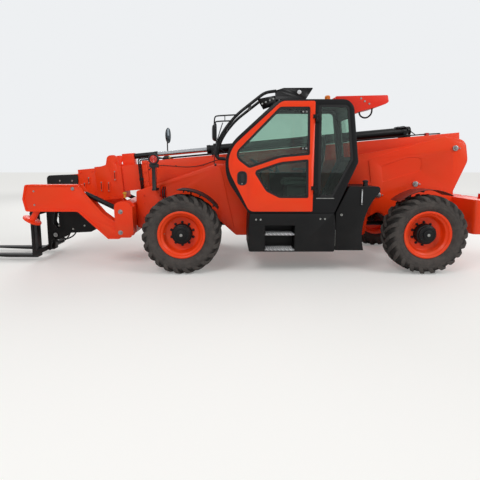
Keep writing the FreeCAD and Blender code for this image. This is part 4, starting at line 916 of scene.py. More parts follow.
def makeTyre():
    profile = list(tyre["wall"]) + [(r, -y) for r, y in reversed(tyre["wall"])]
    carcass = turnedMesh("carcass", profile, (0, 0, 0), (0, 1, 0), tyre["around"], 60)
    rows = []
    for side in (-1, 1):
        rows.append(repeated("lugRow", repeats["ring"], lugMesh(side), {
            "Count": tyre["count"], "Start Turn": 2 * math.pi * 0.25 * side / tyre["count"]},
            "rubber"))
    whole = joinedMesh("tyre", [carcass] + rows)
    # Painted shade: marks the carcass's tread base between the lugs to be drawn darker
    lugGapShade = whole.attributes.new("lugGapShade", "FLOAT", "POINT")  # dark between the lugs
    for point, item in zip(whole.vertices[:len(carcass.vertices)], lugGapShade.data):
        radius = math.hypot(point.co.x, point.co.z)
        item.value = min(max((radius - 0.492) / 0.030, 0.0), 1.0)
    return whole


def makeRim():
    parts = {"rim": turnedMesh("rim", rim["profile"], (0, 0, 0), (0, 1, 0), rim["around"]),
             "hub": joinedMesh("hub", [turnedMesh("hub", rim["hub"], (0, 0, 0), (0, 1, 0), 64),
                                       turnedMesh("hood", rim["hood"], (0, 0, 0), (0, 1, 0), 48)]),
             "plug": turnedMesh("plug", rim["plug"], (0, 0, 0), (0, 1, 0), 32)}
    nut = turnedMesh("nut", ((0, 0.031), (0.006, 0.031), (0.0065, 0.024), (rim["nutRadius"], 0.023),
                             (rim["nutRadius"], 0.006), (0.0205, 0.005), (0.021, 0.0), (0, 0.0)),
                     (0, 0, rim["nutCircle"]), (0, 1, 0), 12)
    parts["nuts"] = repeated("nuts", repeats["ring"], moved(nut, (0, 0.0035, 0)),
                             {"Count": rim["nuts"], "Start Turn": 0.0}, "boltBlack")
    bolt = turnedMesh("hubBolt", ((0, 0.008), (rim["boltRadius"], 0.007), (rim["boltRadius"], 0.0),
                                  (0, 0.0)), (0, 0, rim["boltCircle"]), (0, 1, 0), 6)
    parts["hubBolts"] = repeated("hubBolts", repeats["ring"], moved(bolt, (0, 0.1502, 0)),
                                 {"Count": rim["hubBolts"], "Start Turn": 0.1}, "boltBlack")
    valve = tubeMesh("valve", ((0.262, 0.02, 0), (0.266, 0.05, 0), (0.262, 0.075, 0)), 0.0045, 8)
    parts["valve"] = valve
    return parts


tyreMesh = makeTyre()
rimMeshes = makeRim()
rimFinishes = {"rim": ("rimOrange", "rim_paint"), "hub": ("black", "black_paint"),
               "plug": ("zinc", "chrome_rod"), "nuts": ("boltBlack", "black_paint"),
               "hubBolts": ("boltBlack", "black_paint"), "valve": ("zinc", "chrome_rod")}
for place, (x, side) in wheelPlaces.items():
    centre = Vector((x, side * axle["wheelY"], axle["height"]))
    mesh = tyreMesh.copy()
    mesh.transform(Matrix.Translation(centre))
    piece = addPiece("lugged_tyre_" + place, mesh, "wheel_" + place, "rubber")
    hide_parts("tyre_" + place)
    for part, source in rimMeshes.items():
        mesh = source.copy()
        if side < 0:
            mesh.transform(Matrix.Rotation(math.pi, 4, "Z"))
        mesh.transform(Matrix.Translation(centre))
        finish, slot = rimFinishes[part]
        piece = addPiece("wheel_%s_%s" % (part, place), mesh, "wheel_" + place, finish)
        if part == "rim":
            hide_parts("rim_" + place)
print("wheels made, triangles a tyre:", sum(len(face.vertices) - 2 for face in tyreMesh.polygons))


# Cab: window seals, hinge blocks, handle, wiper, lamps, mirrors and roof fittings
cab = {
    "wallY": -1.130, "doorY": -1.171, "doorIn": -1.136,
    # windows as (distance behind the front axle, height, corner radius)
    "upperWindow": ((1.410, 2.407, 0.08), (1.830, 2.407, 0.025), (1.842, 1.742, 0.025),
                    (1.430, 1.705, 0.5), (0.985, 1.555, 0.06), (0.745, 1.735, 0.12)),
    "lowerWindow": ((1.045, 1.515, 0.05), (1.430, 1.645, 0.5), (1.825, 1.684, 0.025),
                    (1.837, 1.131, 0.025), (1.420, 1.131, 0.12), (1.230, 1.225, 0.12)),
    "sideWindow": ((1.965, 2.440, 0.03), (2.385, 2.440, 0.07), (2.470, 1.680, 0.06),
                   (2.200, 1.140, 0.04), (1.985, 1.140, 0.02)),
    "sealWidth": 0.034, "sealProud": 0.004,
    "hingeBlocks": ((1.752, 2.336), (1.760, 1.834)),
    "doorHinges": ((1.925, 1.250), (1.925, 2.250)),
    "handle": {"x": 0.884, "z": 1.415, "half": 0.066, "tall": 0.097},
}


def windowLoop(name, steps=8):
    return roundedLoop([(behind(x), z, radius) for x, z, radius in cab[name]], steps)


def sealMesh(name, low, high, width):
    loop = windowLoop(name)
    return ringMesh(name + "Seal", shrunkLoop(loop, 0.0005), shrunkLoop(loop, width), low, high)


doorSeals = []
for name in ("upperWindow", "lowerWindow"):
    doorSeals.append(sealMesh(name, cab["doorIn"] - 0.029, cab["doorIn"] - 0.0205, cab["sealWidth"]))
addPiece("door_window_seals", joinedMesh("doorSeals", doorSeals), "door", "seal")
addPiece("side_window_seal", sealMesh("sideWindow", cab["wallY"] + 0.003, cab["wallY"] + 0.0118,
                                      cab["sealWidth"]), "chassis", "seal")


def makeHandle():
    handle = cab["handle"]
    x, z, half, tall = behind(handle["x"]), handle["z"], handle["half"], handle["tall"]
    outline = [(x + dx * half, z + dz * tall, 0.0645) for dx, dz in ((-1, 1), (1, 1), (1, -1), (-1, -1))]
    loop = roundedLoop(outline, 8)
    y = cab["doorY"]
    bezel = ringMesh("bezel", shrunkLoop(loop, -0.004), shrunkLoop(loop, 0.012), y - 0.004, y + 0.0175)
    dish = [(x + dx * (half - 0.002), z + dz * (tall - 0.002), 0.063)
            for dx, dz in ((-1, 1), (1, 1), (1, -1), (-1, -1))]
    bowl = plateMesh("bowl", dish, y + 0.0125, y + 0.0178, 0.002)
    paddle = [(x - 0.026, z + 0.062, 0.02), (x + 0.034, z + 0.07, 0.02), (x + 0.040, z - 0.05, 0.03),
              (x - 0.018, z - 0.062, 0.03)]
    lever = plateMesh("lever", paddle, y - 0.004, y + 0.008, 0.004, segments=3)
    lock = turnedMesh("lock", ((0, 0.018), (0.009, 0.018), (0.010, 0.014), (0.010, 0.0), (0, 0.0)),
                      (x, y + 0.013, z - 0.078), leftward, 24)
    addPiece("door_handle", joinedMesh("handle", [bezel, bowl, lever]), "door",
             "moulded")
    addPiece("door_lock", lock, "door", "zinc")


makeHandle()


def makeHinges():
    blocks = []
    spots = []
    y = cab["doorY"]
    for x, z in cab["hingeBlocks"]:
        corners = [(behind(x) - 0.046, z - 0.026, 0.008), (behind(x) + 0.046, z - 0.026, 0.008),
                   (behind(x) + 0.046, z + 0.026, 0.008), (behind(x) - 0.046, z + 0.026, 0.008)]
        blocks.append(plateMesh("block", corners, y - 0.016, y + 0.0065, 0.003))
        for shift in (-0.024, 0.024):
            spots.append(((behind(x) + shift, y - 0.018, z), leftward))
    addPiece("window_hinge_blocks", joinedMesh("hingeBlocks", blocks), "door", "moulded")
    addFasteners("window_hinge_bolts", "door", "zinc", 0.0085, 0.006, spots)
    caps = []
    for x, z in cab["doorHinges"]:
        caps.append(turnedMesh("cap", ((0, 0.0), (0.017, 0.0), (0.0178, 0.004), (0.0178, 0.008),
                                       (0.015, 0.0105), (0, 0.0105)),
                               (behind(x), -1.182, z + 0.052), upward, 24))
    addPiece("door_hinge_caps", joinedMesh("hingeCaps", caps), "door", "frameBlack")


makeHinges()

# The pale strip that carries the side window's glass
strip = {"x": (1.955, 2.215), "z": (1.118, 1.130)}
sill = blockMesh("sill", (behind(strip["x"][0]), cab["wallY"] - 0.005, strip["z"][0]),
                 (behind(strip["x"][1]), cab["wallY"] + 0.002, strip["z"][1]), 0.0015)
addPiece("side_window_strip", sill, "chassis", "zinc")


def makeFrontWiper():
    # The arm lies on the windscreen, which leans back over the footwell
    foot, tip = Vector((behind(0.512), -0.70, 1.60)), Vector((behind(0.560), -0.92, 1.98))
    out = Vector((-0.045, 0, 0.02))
    arm = tubeMesh("arm", [foot + out, foot + out * 1.15 + (tip - foot) * 0.4, tip + out], 0.006, 8)
    low = Vector((behind(0.490), -0.92, 1.70))
    high = Vector((behind(0.640), -0.92, 2.20))
    blade = tubeMesh("blade", [low + out * 0.75, (low + high) / 2 + out * 1.0, high + out * 0.75],
                     0.008, 8)
    boss = turnedMesh("boss", ((0, 0.03), (0.016, 0.03), (0.02, 0.024), (0.022, 0), (0, 0)),
                      foot + out * 0.2, forward, 24)
    addPiece("windscreen_wiper", joinedMesh("wiper", [arm, blade, boss]), "chassis",
             "moulded")


makeFrontWiper()

roof = {
    "beacon": {"x": 2.160, "y": -0.780, "z": 2.515},
    "unitBolts": ((2.585, 2.545), (2.640, 2.505), (2.705, 2.470)),
    "unitY": -1.000,
}


def makeBeacon():
    spot = roof["beacon"]
    centre = (behind(spot["x"]), spot["y"], spot["z"])
    base = turnedMesh("base", ((0, 0), (0.0495, 0), (0.0495, 0.006), (0.044, 0.014), (0.043, 0.022),
                               (0.036, 0.024), (0, 0.024)), centre, upward, 48)
    ribs = [(0, 0.024), (0.0395, 0.024)]
    level = 0.026
    while level < 0.088:
        ribs += [(0.0412, level), (0.0412, level + 0.0035), (0.0395, level + 0.0045)]
        level += 0.006
    ribs += [(0.0385, 0.092), (0.034, 0.101), (0.024, 0.107), (0.012, 0.1095), (0, 0.1098)]
    dome = turnedMesh("dome", ribs, centre, upward, 48)
    piece = addPiece("beacon_dome", dome, "chassis", "amber")
    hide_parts("beacon")
    addPiece("beacon_base", base, "chassis", "moulded")


makeBeacon()
spots = [((behind(x), roof["unitY"] - 0.001, z), leftward) for x, z in roof["unitBolts"]]
addFasteners("roof_unit_bolts", "chassis", "zinc", 0.010, 0.006, spots)
wire = tubeMesh("wire", [(behind(x), y, z) for x, y, z in (
    (2.185, -0.74, 2.535), (2.24, -0.72, 2.55), (2.30, -0.74, 2.588), (2.42, -0.80, 2.594))], 0.004, 8)
addPiece("beacon_wire", wire, "chassis", "hose")

guard = {
    "gussetBolts": ((1.165, 2.455), (1.215, 2.478), (1.270, 2.502), (1.320, 2.524)),
    "gussetY": -1.1015,
    "workLamps": (-0.930, -0.580), "lampX": 1.470, "lampZ": 2.605,
    "sideLamp": (1.680, 2.612),
}
spots = [((behind(x), guard["gussetY"] - 0.0015, z), leftward) for x, z in guard["gussetBolts"]]
addFasteners("guard_gusset_bolts", "chassis", "zinc", 0.009, 0.007, spots)
lenses = []
for y in guard["workLamps"]:
    lenses.append(turnedMesh("lens", ((0, 0.008), (0.020, 0.0075), (0.038, 0.004), (0.042, 0.0),
                                      (0.042, -0.003), (0, -0.003)),
                             (behind(guard["lampX"]), y, guard["lampZ"]), forward, 40))
lenses.append(turnedMesh("sideLens", ((0, 0.007), (0.018, 0.006), (0.028, 0.002), (0.030, -0.002),
                                      (0, -0.002)),
                         (behind(guard["sideLamp"][0]), -1.116, guard["sideLamp"][1]), leftward, 32))
addPiece("work_lamp_lenses", joinedMesh("lenses", lenses), "chassis", "clearLens")

mirror = {
    # the middle of the rim, half its width and height, the depth of its back and how square it is
    "left": {"rim": (0.514, -1.105, 2.061), "half": (0.085, 0.123), "depth": 0.055, "square": 4.5,
             "blunt": 0.3, "turn": 8},
    "right": {"rim": (-0.495, 1.000, 2.165), "half": (0.080, 0.150), "depth": 0.045, "square": 2.2,
              "blunt": 0.7, "turn": -28},
    "highArm": ((0.800, -1.1173, 2.298), (0.799, -1.158, 2.297), (0.760, -1.154, 2.296),
                (0.640, -1.142, 2.291), (0.545, -1.132, 2.287), (0.505, -1.125, 2.280),
                (0.492, -1.112, 2.245), (0.488, -1.105, 2.150)),
    "lowArm": ((0.729, -1.1173, 2.216), (0.728, -1.158, 2.215), (0.690, -1.152, 2.2145),
               (0.600, -1.138, 2.213), (0.535, -1.124, 2.211), (0.502, -1.112, 2.205),
               (0.495, -1.105, 2.165)),
    "strut": ((0.640, -1.142, 2.291), (0.640, -1.143, 2.250), (0.640, -1.144, 2.214)),
    "stalk": ((-0.480, 0.651, 1.215), (-0.480, 0.760, 1.2155), (-0.480, 0.860, 1.220),
              (-0.486, 0.960, 1.300), (-0.512, 0.998, 1.480), (-0.520, 1.000, 1.640),
              (-0.520, 1.000, 2.040)),
}


def mirrorShell(part):  # a domed back on its rim, and the flat glass that looks backwards
    x, y, z = part["rim"]
    power = 2 / part["square"]

    def loop(scale, depth):
        spots = []
        for step in range(48):
            turn = 2 * math.pi * step / 48
            wide, tall = math.cos(turn), math.sin(turn)
            spots.append((behind(x) - depth,
                          y + part["half"][0] * scale * math.copysign(abs(wide) ** power, wide),
                          z + part["half"][1] * scale * math.copysign(abs(tall) ** power, tall)))
        return spots

    rings = [(0.93, 0.0), (0.97, 0.0), (1.0, 0.004)]
    rings += [(math.cos(turn) ** part["blunt"], part["depth"] * math.sin(turn))
              for turn in (0.25, 0.5, 0.75, 1.0, 1.25, 1.45)]
    meshes = []
    turned = Matrix.Rotation(math.radians(part["turn"]), 4, "Z")  # the glass looks at the driver
    pivot = Matrix.Translation((behind(x), y, z))
    for name, levels in (("shell", rings), ("glass", [(0.90, -0.0025), (0.925, -0.001), (0.925, 0.002)])):
        work = bmesh.new()
        rows = [[work.verts.new(spot) for spot in loop(*level)] for level in levels]
        for one, other in zip(rows, rows[1:]):
            for step in range(48):
                after = (step + 1) % 48
                work.faces.new((one[step], one[after], other[after], other[step]))
        work.faces.new(rows[0])
        work.faces.new(rows[-1])
        bmesh.ops.recalc_face_normals(work, faces=work.faces)
        mesh = bpy.data.meshes.new(name)
        work.to_mesh(mesh)
        work.free()
        mesh.transform(pivot @ turned @ pivot.inverted())
        meshes.append(smoothed(mesh, 40))
    return meshes


def makeMirrors():
    shells, glasses = zip(*(mirrorShell(mirror[name]) for name in ("left", "right")))
    arms = [tubeMesh("arm", [(behind(x), y, z) for x, y, z in mirror[name]], radius, 12)
            for name, radius in (("highArm", 0.010), ("lowArm", 0.010), ("strut", 0.006),
                                 ("stalk", 0.012))]
    piece = addPiece("mirror_shells_and_arms", joinedMesh("mirrors", list(shells) + arms), "chassis",
                     "frameBlack")
    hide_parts("mirrors")
    addPiece("mirror_glasses", joinedMesh("mirrorGlasses", glasses), "chassis",
             "mirrorGlass")


makeMirrors()
print("cab fittings made")

# Under the cab: bolts along the black band, step teeth, and the tank's gauge, cap and valve
base = {
    "faceY": -1.150,
    "bandBolts": ((1.090, 0.817), (1.156, 0.817), (2.022, 0.827), (2.088, 0.827)),
    "treads": ((0.352, 0.025), (0.580, 0.025)),
    "treadX": (1.221, 1.656), "treadFront": -1.140,
}
spots = [((behind(x), base["faceY"] - 0.0015, z), leftward) for x, z in base["bandBolts"]]
addFasteners("cab_base_bolts", "chassis", "zinc", 0.010, 0.007, spots)
teeth = []
for level, thick in base["treads"]:
    tooth = blockMesh("tooth", (-0.009, -0.0015, 0), (0.009, 0.0015, 0.006), 0.001, 1)
    front = base["treadFront"] if level < 0.5 else base["treadFront"] + 0.010
    for row in range(5):
        teeth.append(repeated("teeth", repeats["line"], tooth, {
            "Count": 13, "Step": (0.031, 0, 0),
            "Start": (behind(base["treadX"][0]) + 0.032, front + 0.02 + row * 0.045,
                      level + thick - 0.001)}, "tread"))
addPiece("step_teeth", joinedMesh("teeth", teeth), "chassis")

tank = {
    "faceY": -1.080, "gaugeX": 2.632, "gaugeZ": (1.018, 1.259),
    "cap": (2.725, -0.940, 1.350), "valve": (2.345, 0.878),
}


def makeTankFittings():
    x, y = behind(tank["gaugeX"]), tank["faceY"]
    low, high = tank["gaugeZ"]
    frameMesh = blockMesh("gaugeFrame", (x - 0.015, y - 0.014, low), (x + 0.015, y + 0.001, high),
                          0.004)
    glassMesh = blockMesh("gaugeGlass", (x - 0.007, y - 0.017, low + 0.035),
                          (x + 0.007, y - 0.012, high - 0.035), 0.002)
    addPiece("level_gauge", frameMesh, "chassis", "moulded")
    addPiece("level_gauge_glass", glassMesh, "chassis", "clearLens")
    spots = [((x, y - 0.015, low + 0.018), leftward), ((x, y - 0.015, high - 0.018), leftward)]
    addFasteners("level_gauge_bolts", "chassis", "zinc", 0.007, 0.005, spots)
    capX, capY, capZ = tank["cap"]
    cap = turnedMesh("cap", ((0, 0.030), (0.016, 0.030), (0.030, 0.026), (0.037, 0.020),
                             (0.0385, 0.004), (0.037, 0.0), (0.0345, -0.006), (0, -0.006)),
                     (behind(capX), capY, capZ), upward, 40)
    rib = blockMesh("rib", (0.0375, -0.003, 0.003), (0.0405, 0.003, 0.019), 0.001, 1)
    rib.transform(Matrix.Rotation(math.pi / 2, 4, "X"))
    grip = repeated("grip", repeats["ring"], rib, {"Count": 20, "Start Turn": 0.0}, "moulded")
    grip.transform(Matrix.Rotation(-math.pi / 2, 4, "X"))
    addPiece("tank_cap", joinedMesh("tankCap", [cap, moved(grip, (behind(capX), capY, capZ))]),
             "chassis", "moulded")
    valveX, valveZ = tank["valve"]
    valve = turnedMesh("valve", ((0, 0.035), (0.008, 0.035), (0.010, 0.028), (0.010, 0.012),
                                 (0.018, 0.011), (0.018, 0.0), (0, 0.0)),
                       (behind(valveX), y, valveZ), leftward, 24)
    addPiece("tank_valve", valve, "chassis", "zinc")


makeTankFittings()
print("tank and steps made")


# Frame: pin hexagons, plate bolts, lamp lenses and the small fittings of the nose
chassis = {
    "skinY": 0.372, "capProud": 0.022,
    "pins": ((3.140, 1.110), (3.740, 1.290), (4.350, 1.867)),
    "keepers": 0.062,  # from a pin's middle to its keeper plate's bolt
    "lampX": -0.475, "lampZ": 1.690, "lampY": 0.650,
    "slotFitting": (-0.386, 1.125),
}


def makePinEnds():
    heads, keepers, bolts = [], [], []
    for side in (-1, 1):
        aim = (0, side, 0)
        y = side * (chassis["skinY"] + chassis["capProud"])
        for x, z in chassis["pins"]:
            heads.append(turnedMesh("head", ((0, 0.012), (0.018, 0.012), (0.022, 0.008),
                                             (0.024, -0.001), (0, -0.001)),
                                    (behind(x), y, z), aim, 6))
            low, high = sorted((side * (chassis["skinY"] - 0.001), side * (chassis["skinY"] + 0.010)))
            corners = [(behind(x) + 0.040, z - 0.016, 0.006), (behind(x) + 0.088, z - 0.016, 0.012),
                       (behind(x) + 0.088, z + 0.016, 0.012), (behind(x) + 0.040, z + 0.016, 0.006)]
            keepers.append(plateMesh("keeper", corners, low, high, 0.0015))
            bolts.append(((behind(x) + 0.072, side * (chassis["skinY"] + 0.012), z), aim))
    addPiece("pin_heads", joinedMesh("pinHeads", heads), "chassis", "pinSteel")
    addPiece("pin_keepers", joinedMesh("pinKeepers", keepers), "chassis", "orange")
    addFasteners("keeper_bolts", "chassis", "zinc", 0.008, 0.006, bolts)


makePinEnds()


def makeSideLamps():
    lenses, rims, hoods = [], [], []
    for side in (-1, 1):
        centre = (behind(chassis["lampX"]), side * chassis["lampY"], chassis["lampZ"])
        aim = (0, side, 0)
        rings = [(0, 0.014)]
        radius = 0.008
        while radius < 0.056:
            rings += [(radius, 0.0135), (radius + 0.003, 0.0115), (radius + 0.006, 0.0135)]
            radius += 0.008
        rings += [(0.0605, 0.008), (0.0610, -0.002), (0, -0.002)]
        lenses.append(turnedMesh("lens", rings, centre, aim, 48, 50))
        rims.append(turnedMesh("rim", ((0.0612, -0.004), (0.0612, 0.012), (0.066, 0.017),
                                       (0.076, 0.017), (0.0815, 0.012), (0.0815, -0.030),
                                       (0.0795, -0.030), (0.0795, -0.004)), centre, aim, 56))
        hoods.append(turnedMesh("back", ((0, -0.088), (0.030, -0.086), (0.062, -0.074),
                                         (0.080, -0.058), (0.081, -0.028), (0, -0.028)),
                                centre, aim, 48))
    addPiece("side_lamp_lenses", joinedMesh("sideLenses", lenses), "chassis", "redLens")
    addPiece("side_lamp_rims", joinedMesh("sideRims", rims + hoods), "chassis",
             "moulded")
    wires = []
    for side in (-1, 1):
        x, y = behind(chassis["lampX"]), side * 0.612
        wires.append(tubeMesh("wire", ((x + 0.02, y, 1.62), (x + 0.045, y, 1.52),
                                       (x + 0.040, side * 0.640, 1.40), (x + 0.030, y, 1.28),
                                       (x + 0.02, side * 0.56, 1.226)), 0.0045, 8))
    addPiece("side_lamp_wires", joinedMesh("lampWires", wires), "chassis", "hose")


makeSideLamps()

plateBolts = []
for x, z in ((-0.700, 1.100), (-0.700, 0.980), (-0.700, 0.760), (-0.560, 0.660)):
    for side in (-1, 1):
        plateBolts.append(((behind(x), side * (chassis["skinY"] + 0.0015), z), (0, side, 0)))
addFasteners("nose_plate_bolts", "chassis", "orange", 0.013, 0.009, plateBolts)

# Hoses that come out of the slot in the side plate and go down behind the front wheel's guard
slotHoses = []
for shift in (0.0, 0.030):
    x = chassis["slotFitting"][0] + shift
    slotHoses.append(tubeMesh("slotHose", [(behind(px), py, pz) for px, py, pz in (
        (x, -0.300, 1.235), (x, -0.385, 1.215 - shift), (x - 0.005, -0.400, 1.120),
        (x + 0.010, -0.395, 1.040 + shift), (x + 0.015, -0.330, 0.985))], 0.011, 12))
addPiece("slot_hoses", joinedMesh("slotHoses", slotHoses), "chassis", "hose")

tail = {"y": (-0.650, 0.650), "x": 4.265 - 0.060, "z": 1.115}
lenses, housings = [], []
for y in tail["y"]:
    for shift, part in ((-0.045, "redLens"), (0.045, "amber")):
        low = (tail["x"] - 0.004, y + shift - 0.038, tail["z"] - 0.026)
        high = (tail["x"] + 0.008, y + shift + 0.038, tail["z"] + 0.026)
        lenses.append((part, blockMesh("tailLens", low, high, 0.006, 3)))
for part in ("redLens", "amber"):
    meshes = [mesh for kind, mesh in lenses if kind == part]
    addPiece("tail_%s_parts" % part, joinedMesh("tailLenses", meshes), "chassis", part)

# Boom: wear pad bolts, collar bolts, the sagging wire and the clamps of its lines
boomBolts = {
    "secondCollar": [(-0.400, -0.285), (-0.510, -0.285), (-0.620, -0.285), (-0.730, -0.285)],
    "thirdCollar": [(-0.850, 0.165), (-1.050, 0.165), (-0.850, -0.205), (-1.050, -0.205)],
    "mouthCollar": [(0.028, 0.215), (0.028, 0.080), (0.028, -0.080), (0.028, -0.220), (0.068, 0.215),
                    (0.068, 0.080), (0.068, -0.080), (0.068, -0.220)],
}


def collarBolts(name, body, half, points):
    spots = []
    for side in (-1, 1):
        for ahead, rise in points:
            spots.append((onMouth(ahead, side * (half + 0.0015), rise), (0, side, 0)))
    addFasteners(name, body, "orange", 0.011, 0.008, spots)


collarBolts("mouth_collar_bolts", "boom", 0.210, boomBolts["mouthCollar"])
collarBolts("second_collar_bolts", "boom_two", 0.212, boomBolts["secondCollar"])
collarBolts("third_collar_bolts", "boom_three", 0.182, boomBolts["thirdCollar"])

wire = tubeMesh("boomWire", [onMouth(ahead, -0.1985, rise) for ahead, rise in (
    (0.100, 0.105), (0.160, 0.150), (0.330, 0.165), (0.560, 0.120), (0.800, 0.085), (1.020, 0.100),
    (1.180, 0.150), (1.420, 0.185), (1.720, 0.200))], 0.0045, 8)
addPiece("boom_side_wire", wire, "boom", "hose")
clips = []
for ahead, rise in ((0.115, 0.108), (0.560, 0.128), (1.020, 0.103), (1.700, 0.199)):
    x, y, z = onMouth(ahead, -0.190, rise)
    clips.append(blockMesh("clip", (x - 0.010, y - 0.014, z - 0.008), (x + 0.010, y + 0.0005, z + 0.008),
                           0.003))
addPiece("boom_wire_clips", joinedMesh("wireClips", clips), "boom", "moulded")

lines = {
    "clamps": (-0.650, -2.275, -3.900),  # along the boom from its pivot
    "y": (-0.135, -0.105, 0.105, 0.135), "rise": 0.275, "radius": 0.011,
    "redClampAt": -0.330,
}


def makeLineFittings():
    unions, spots, steel = [], [], []
    for y in lines["y"]:
        for along in (-4.640, -0.640):
            nut = turnedMesh("union", ((0.0112, -0.022), (0.017, -0.022), (0.017, 0.004),
                                       (0.0145, 0.006), (0.0145, 0.022), (0.0112, 0.024)),
                             (0, 0, 0), (1, 0, 0), 6)
            nut.transform(Matrix.Rotation(-boomLine["slope"], 4, "Y"))
            unions.append(moved(nut, onBoom(along, y, lines["rise"])))
    for along in lines["clamps"]:
        for y in (-0.120, 0.120):
            spots.append((onBoom(along, y, 0.2965), Vector(onBoom(0, 0, 1)) - Vector(onBoom(0, 0, 0))))
    addPiece("line_unions", joinedMesh("unions", unions), "boom", "bareBrass")
    addFasteners("line_clamp_bolts", "boom", "zinc", 0.009, 0.008, spots)
    for y in (-0.135, -0.105):
        run = [onBoom(-0.610, y, 0.275), onBoom(-0.450, y, 0.275), onBoom(-0.300, y - 0.01, 0.270),
               onBoom(-0.120, y - 0.02, 0.262)]
        steel.append(tubeMesh("tailHose", run, 0.011, 10))
    addPiece("boom_tail_hoses", joinedMesh("tailHoses", steel), "boom", "hose")
    x, y, z = onBoom(lines["redClampAt"], -0.130, 0.272)
    clamp = blockMesh("redClamp", (x - 0.025, y - 0.032, z - 0.022), (x + 0.025, y + 0.035, z + 0.020),
                      0.006)
    addPiece("red_hose_clamp", clamp, "boom", "redClamp")


makeLineFittings()

extension = {
    "bandAlong": (-3.985, -2.300, -0.590), "barrel": 0.070, "rise": 0.355,
    "ports": (-3.880, -0.680),
}


def makeExtensionDetails():
    bands, ports = [], []
    for along in extension["bandAlong"]:
        band = turnedMesh("band", ((0.0702, -0.030), (0.0755, -0.030), (0.0765, -0.026),
                                   (0.0765, 0.026), (0.0755, 0.030), (0.0702, 0.030)),
                          (0, 0, 0), (1, 0, 0), 48)
        band.transform(Matrix.Rotation(-boomLine["slope"], 4, "Y"))
        bands.append(moved(band, onBoom(along, 0, extension["rise"])))
    for along in extension["ports"]:
        x, y, z = onBoom(along, 0, extension["rise"] + 0.066)
        ports.append(blockMesh("port", (x - 0.024, -0.020, z - 0.006), (x + 0.024, 0.020, z + 0.024),
                               0.004))
        ports.append(tubeMesh("portLine", (onBoom(along, -0.015, extension["rise"] + 0.082),
                                           onBoom(along, -0.080, extension["rise"] + 0.090),
                                           onBoom(along + 0.05, -0.122, extension["rise"] + 0.02),
                                           onBoom(along + 0.16, -0.120, 0.284)), 0.008, 10))
    addPiece("extension_bands", joinedMesh("bands", bands + ports), "boom", "black")


makeExtensionDetails()
print("boom fittings made")

# Boom head, carriage and forks: pin caps, bolts, couplers, carriage notches, and the pins of the stabilisers
pinX, pinZ = carriagePin
head = {
    "plateY": 0.120, "pinProud": 0.022,
    "pins": ((0.0, 0.400, 0.040), (0.620, 0.640, 0.025)),
    "bolts": ((0.060, 0.560), (0.060, 0.720), (0.060, 0.880), (0.330, 1.330), (0.120, 1.330),
              (0.500, 0.560), (0.300, 0.500)),
    "couplers": ((0.150, 1.050), (0.205, 1.050), (0.260, 1.050)),
}


def makeHeadDetails():
    caps, spots, couplers, rings = [], [], [], []
    for side in (-1, 1):
        aim = (0, side, 0)
        y = side * (head["plateY"] + head["pinProud"])
        for x, z, radius in head["pins"]:
            caps.append(turnedMesh("cap", ((0, 0.006), (radius * 0.5, 0.006), (radius * 0.55, 0.002),
                                           (radius * 0.9, 0.002), (radius * 0.95, -0.001), (0, -0.001)),
                                   (pinX + x, y, z), aim, 32))
        for x, z in head["bolts"]:
            spots.append(((pinX + x, side * (head["plateY"] + 0.0015), z), aim))
    for x, z in head["couplers"]:
        couplers.append(turnedMesh("coupler", ((0, 0.058), (0.008, 0.058), (0.010, 0.050),
                                               (0.015, 0.049), (0.015, 0.030), (0.012, 0.028),
                                               (0.012, 0.012), (0.018, 0.010), (0.018, 0.0), (0, 0.0)),
                                   (pinX + x, -head["plateY"], z), leftward, 20))
    addPiece("head_pin_caps", joinedMesh("pinCaps", caps), "boom_four", "pinSteel")
    addFasteners("head_bolts", "boom_four", "zinc", 0.011, 0.008, spots)
    addPiece("quick_couplers", joinedMesh("couplers", couplers), "boom_four", "bareBrass")


makeHeadDetails()

carriageParts = {"barX": (-0.200, -0.160), "barZ": (0.130, 0.210, 0.780, 0.860), "half": 0.560}
spots = []
for y in (-0.540, 0.540):
    for z in (0.170, 0.820):
        spots.append(((pinX + carriageParts["barX"][0] - 0.0015, y, z), forward))
addFasteners("carriage_bolts", "fork_carriage", "boltBlack", 0.012, 0.009, spots)
teeth = repeated("carriageTeeth", repeats["line"],
                 blockMesh("notch", (-0.012, -0.006, 0), (0.012, 0.006, 0.008), 0.002, 1),
                 {"Count": 17, "Start": (pinX - 0.180, -0.480, 0.8595), "Step": (0, 0.060, 0)},
                 "black")
addPiece("carriage_notches", teeth, "fork_carriage")

stay = {"y": 0.700, "half": 0.080, "earHalf": 0.100, "pinX": -0.985, "pinZ": 0.560, "kneeX": -1.700, "kneeZ": 1.240,
        "ramX": -0.975, "ramZ": 0.885}


def makeStayDetails():
    for label, side in (("left", -1), ("right", 1)):
        armPins, nosePins = [], []
        for out in (-1, 1):
            aim = (0, out, 0)
            y = side * stay["y"] + out * stay["half"]
            armPins.append(turnedMesh("kneePin", ((0, 0.014), (0.024, 0.014), (0.030, 0.009),
                                                  (0.031, -0.002), (0, -0.002)),
                                      (behind(stay["kneeX"]), y, stay["kneeZ"]), aim, 6))
            y = side * stay["y"] + out * stay["earHalf"]
            for x, z in (("pinX", "pinZ"), ("ramX", "ramZ")):
                nosePins.append(turnedMesh("nosePin", ((0, 0.016), (0.020, 0.016), (0.026, 0.010),
                                                       (0.0265, 0.004), (0.036, 0.003),
                                                       (0.037, -0.002), (0, -0.002)),
                                           (behind(stay[x]), y, stay[z]), aim, 24))
        body = "stabiliser_%s_arm" % label
        addPiece("stay_pins_" + label, joinedMesh("stayPins", armPins), body, "pinSteel")
        addPiece("nose_pins_" + label, joinedMesh("nosePins", nosePins), "chassis",
                 "pinSteel")
        flange = []
        for out in (-1, 1):
            y = side * stay["y"] + out * (stay["half"] + 0.0005)
            flange.append(((behind(-2.300), y, 1.200), (0, out, 0)))
            flange.append(((behind(-2.300), y, 0.990), (0, out, 0)))
        addFasteners("stay_bolts_" + label, body, "zinc", 0.010, 0.008, flange)


makeStayDetails()
print("head and stabiliser fittings made")
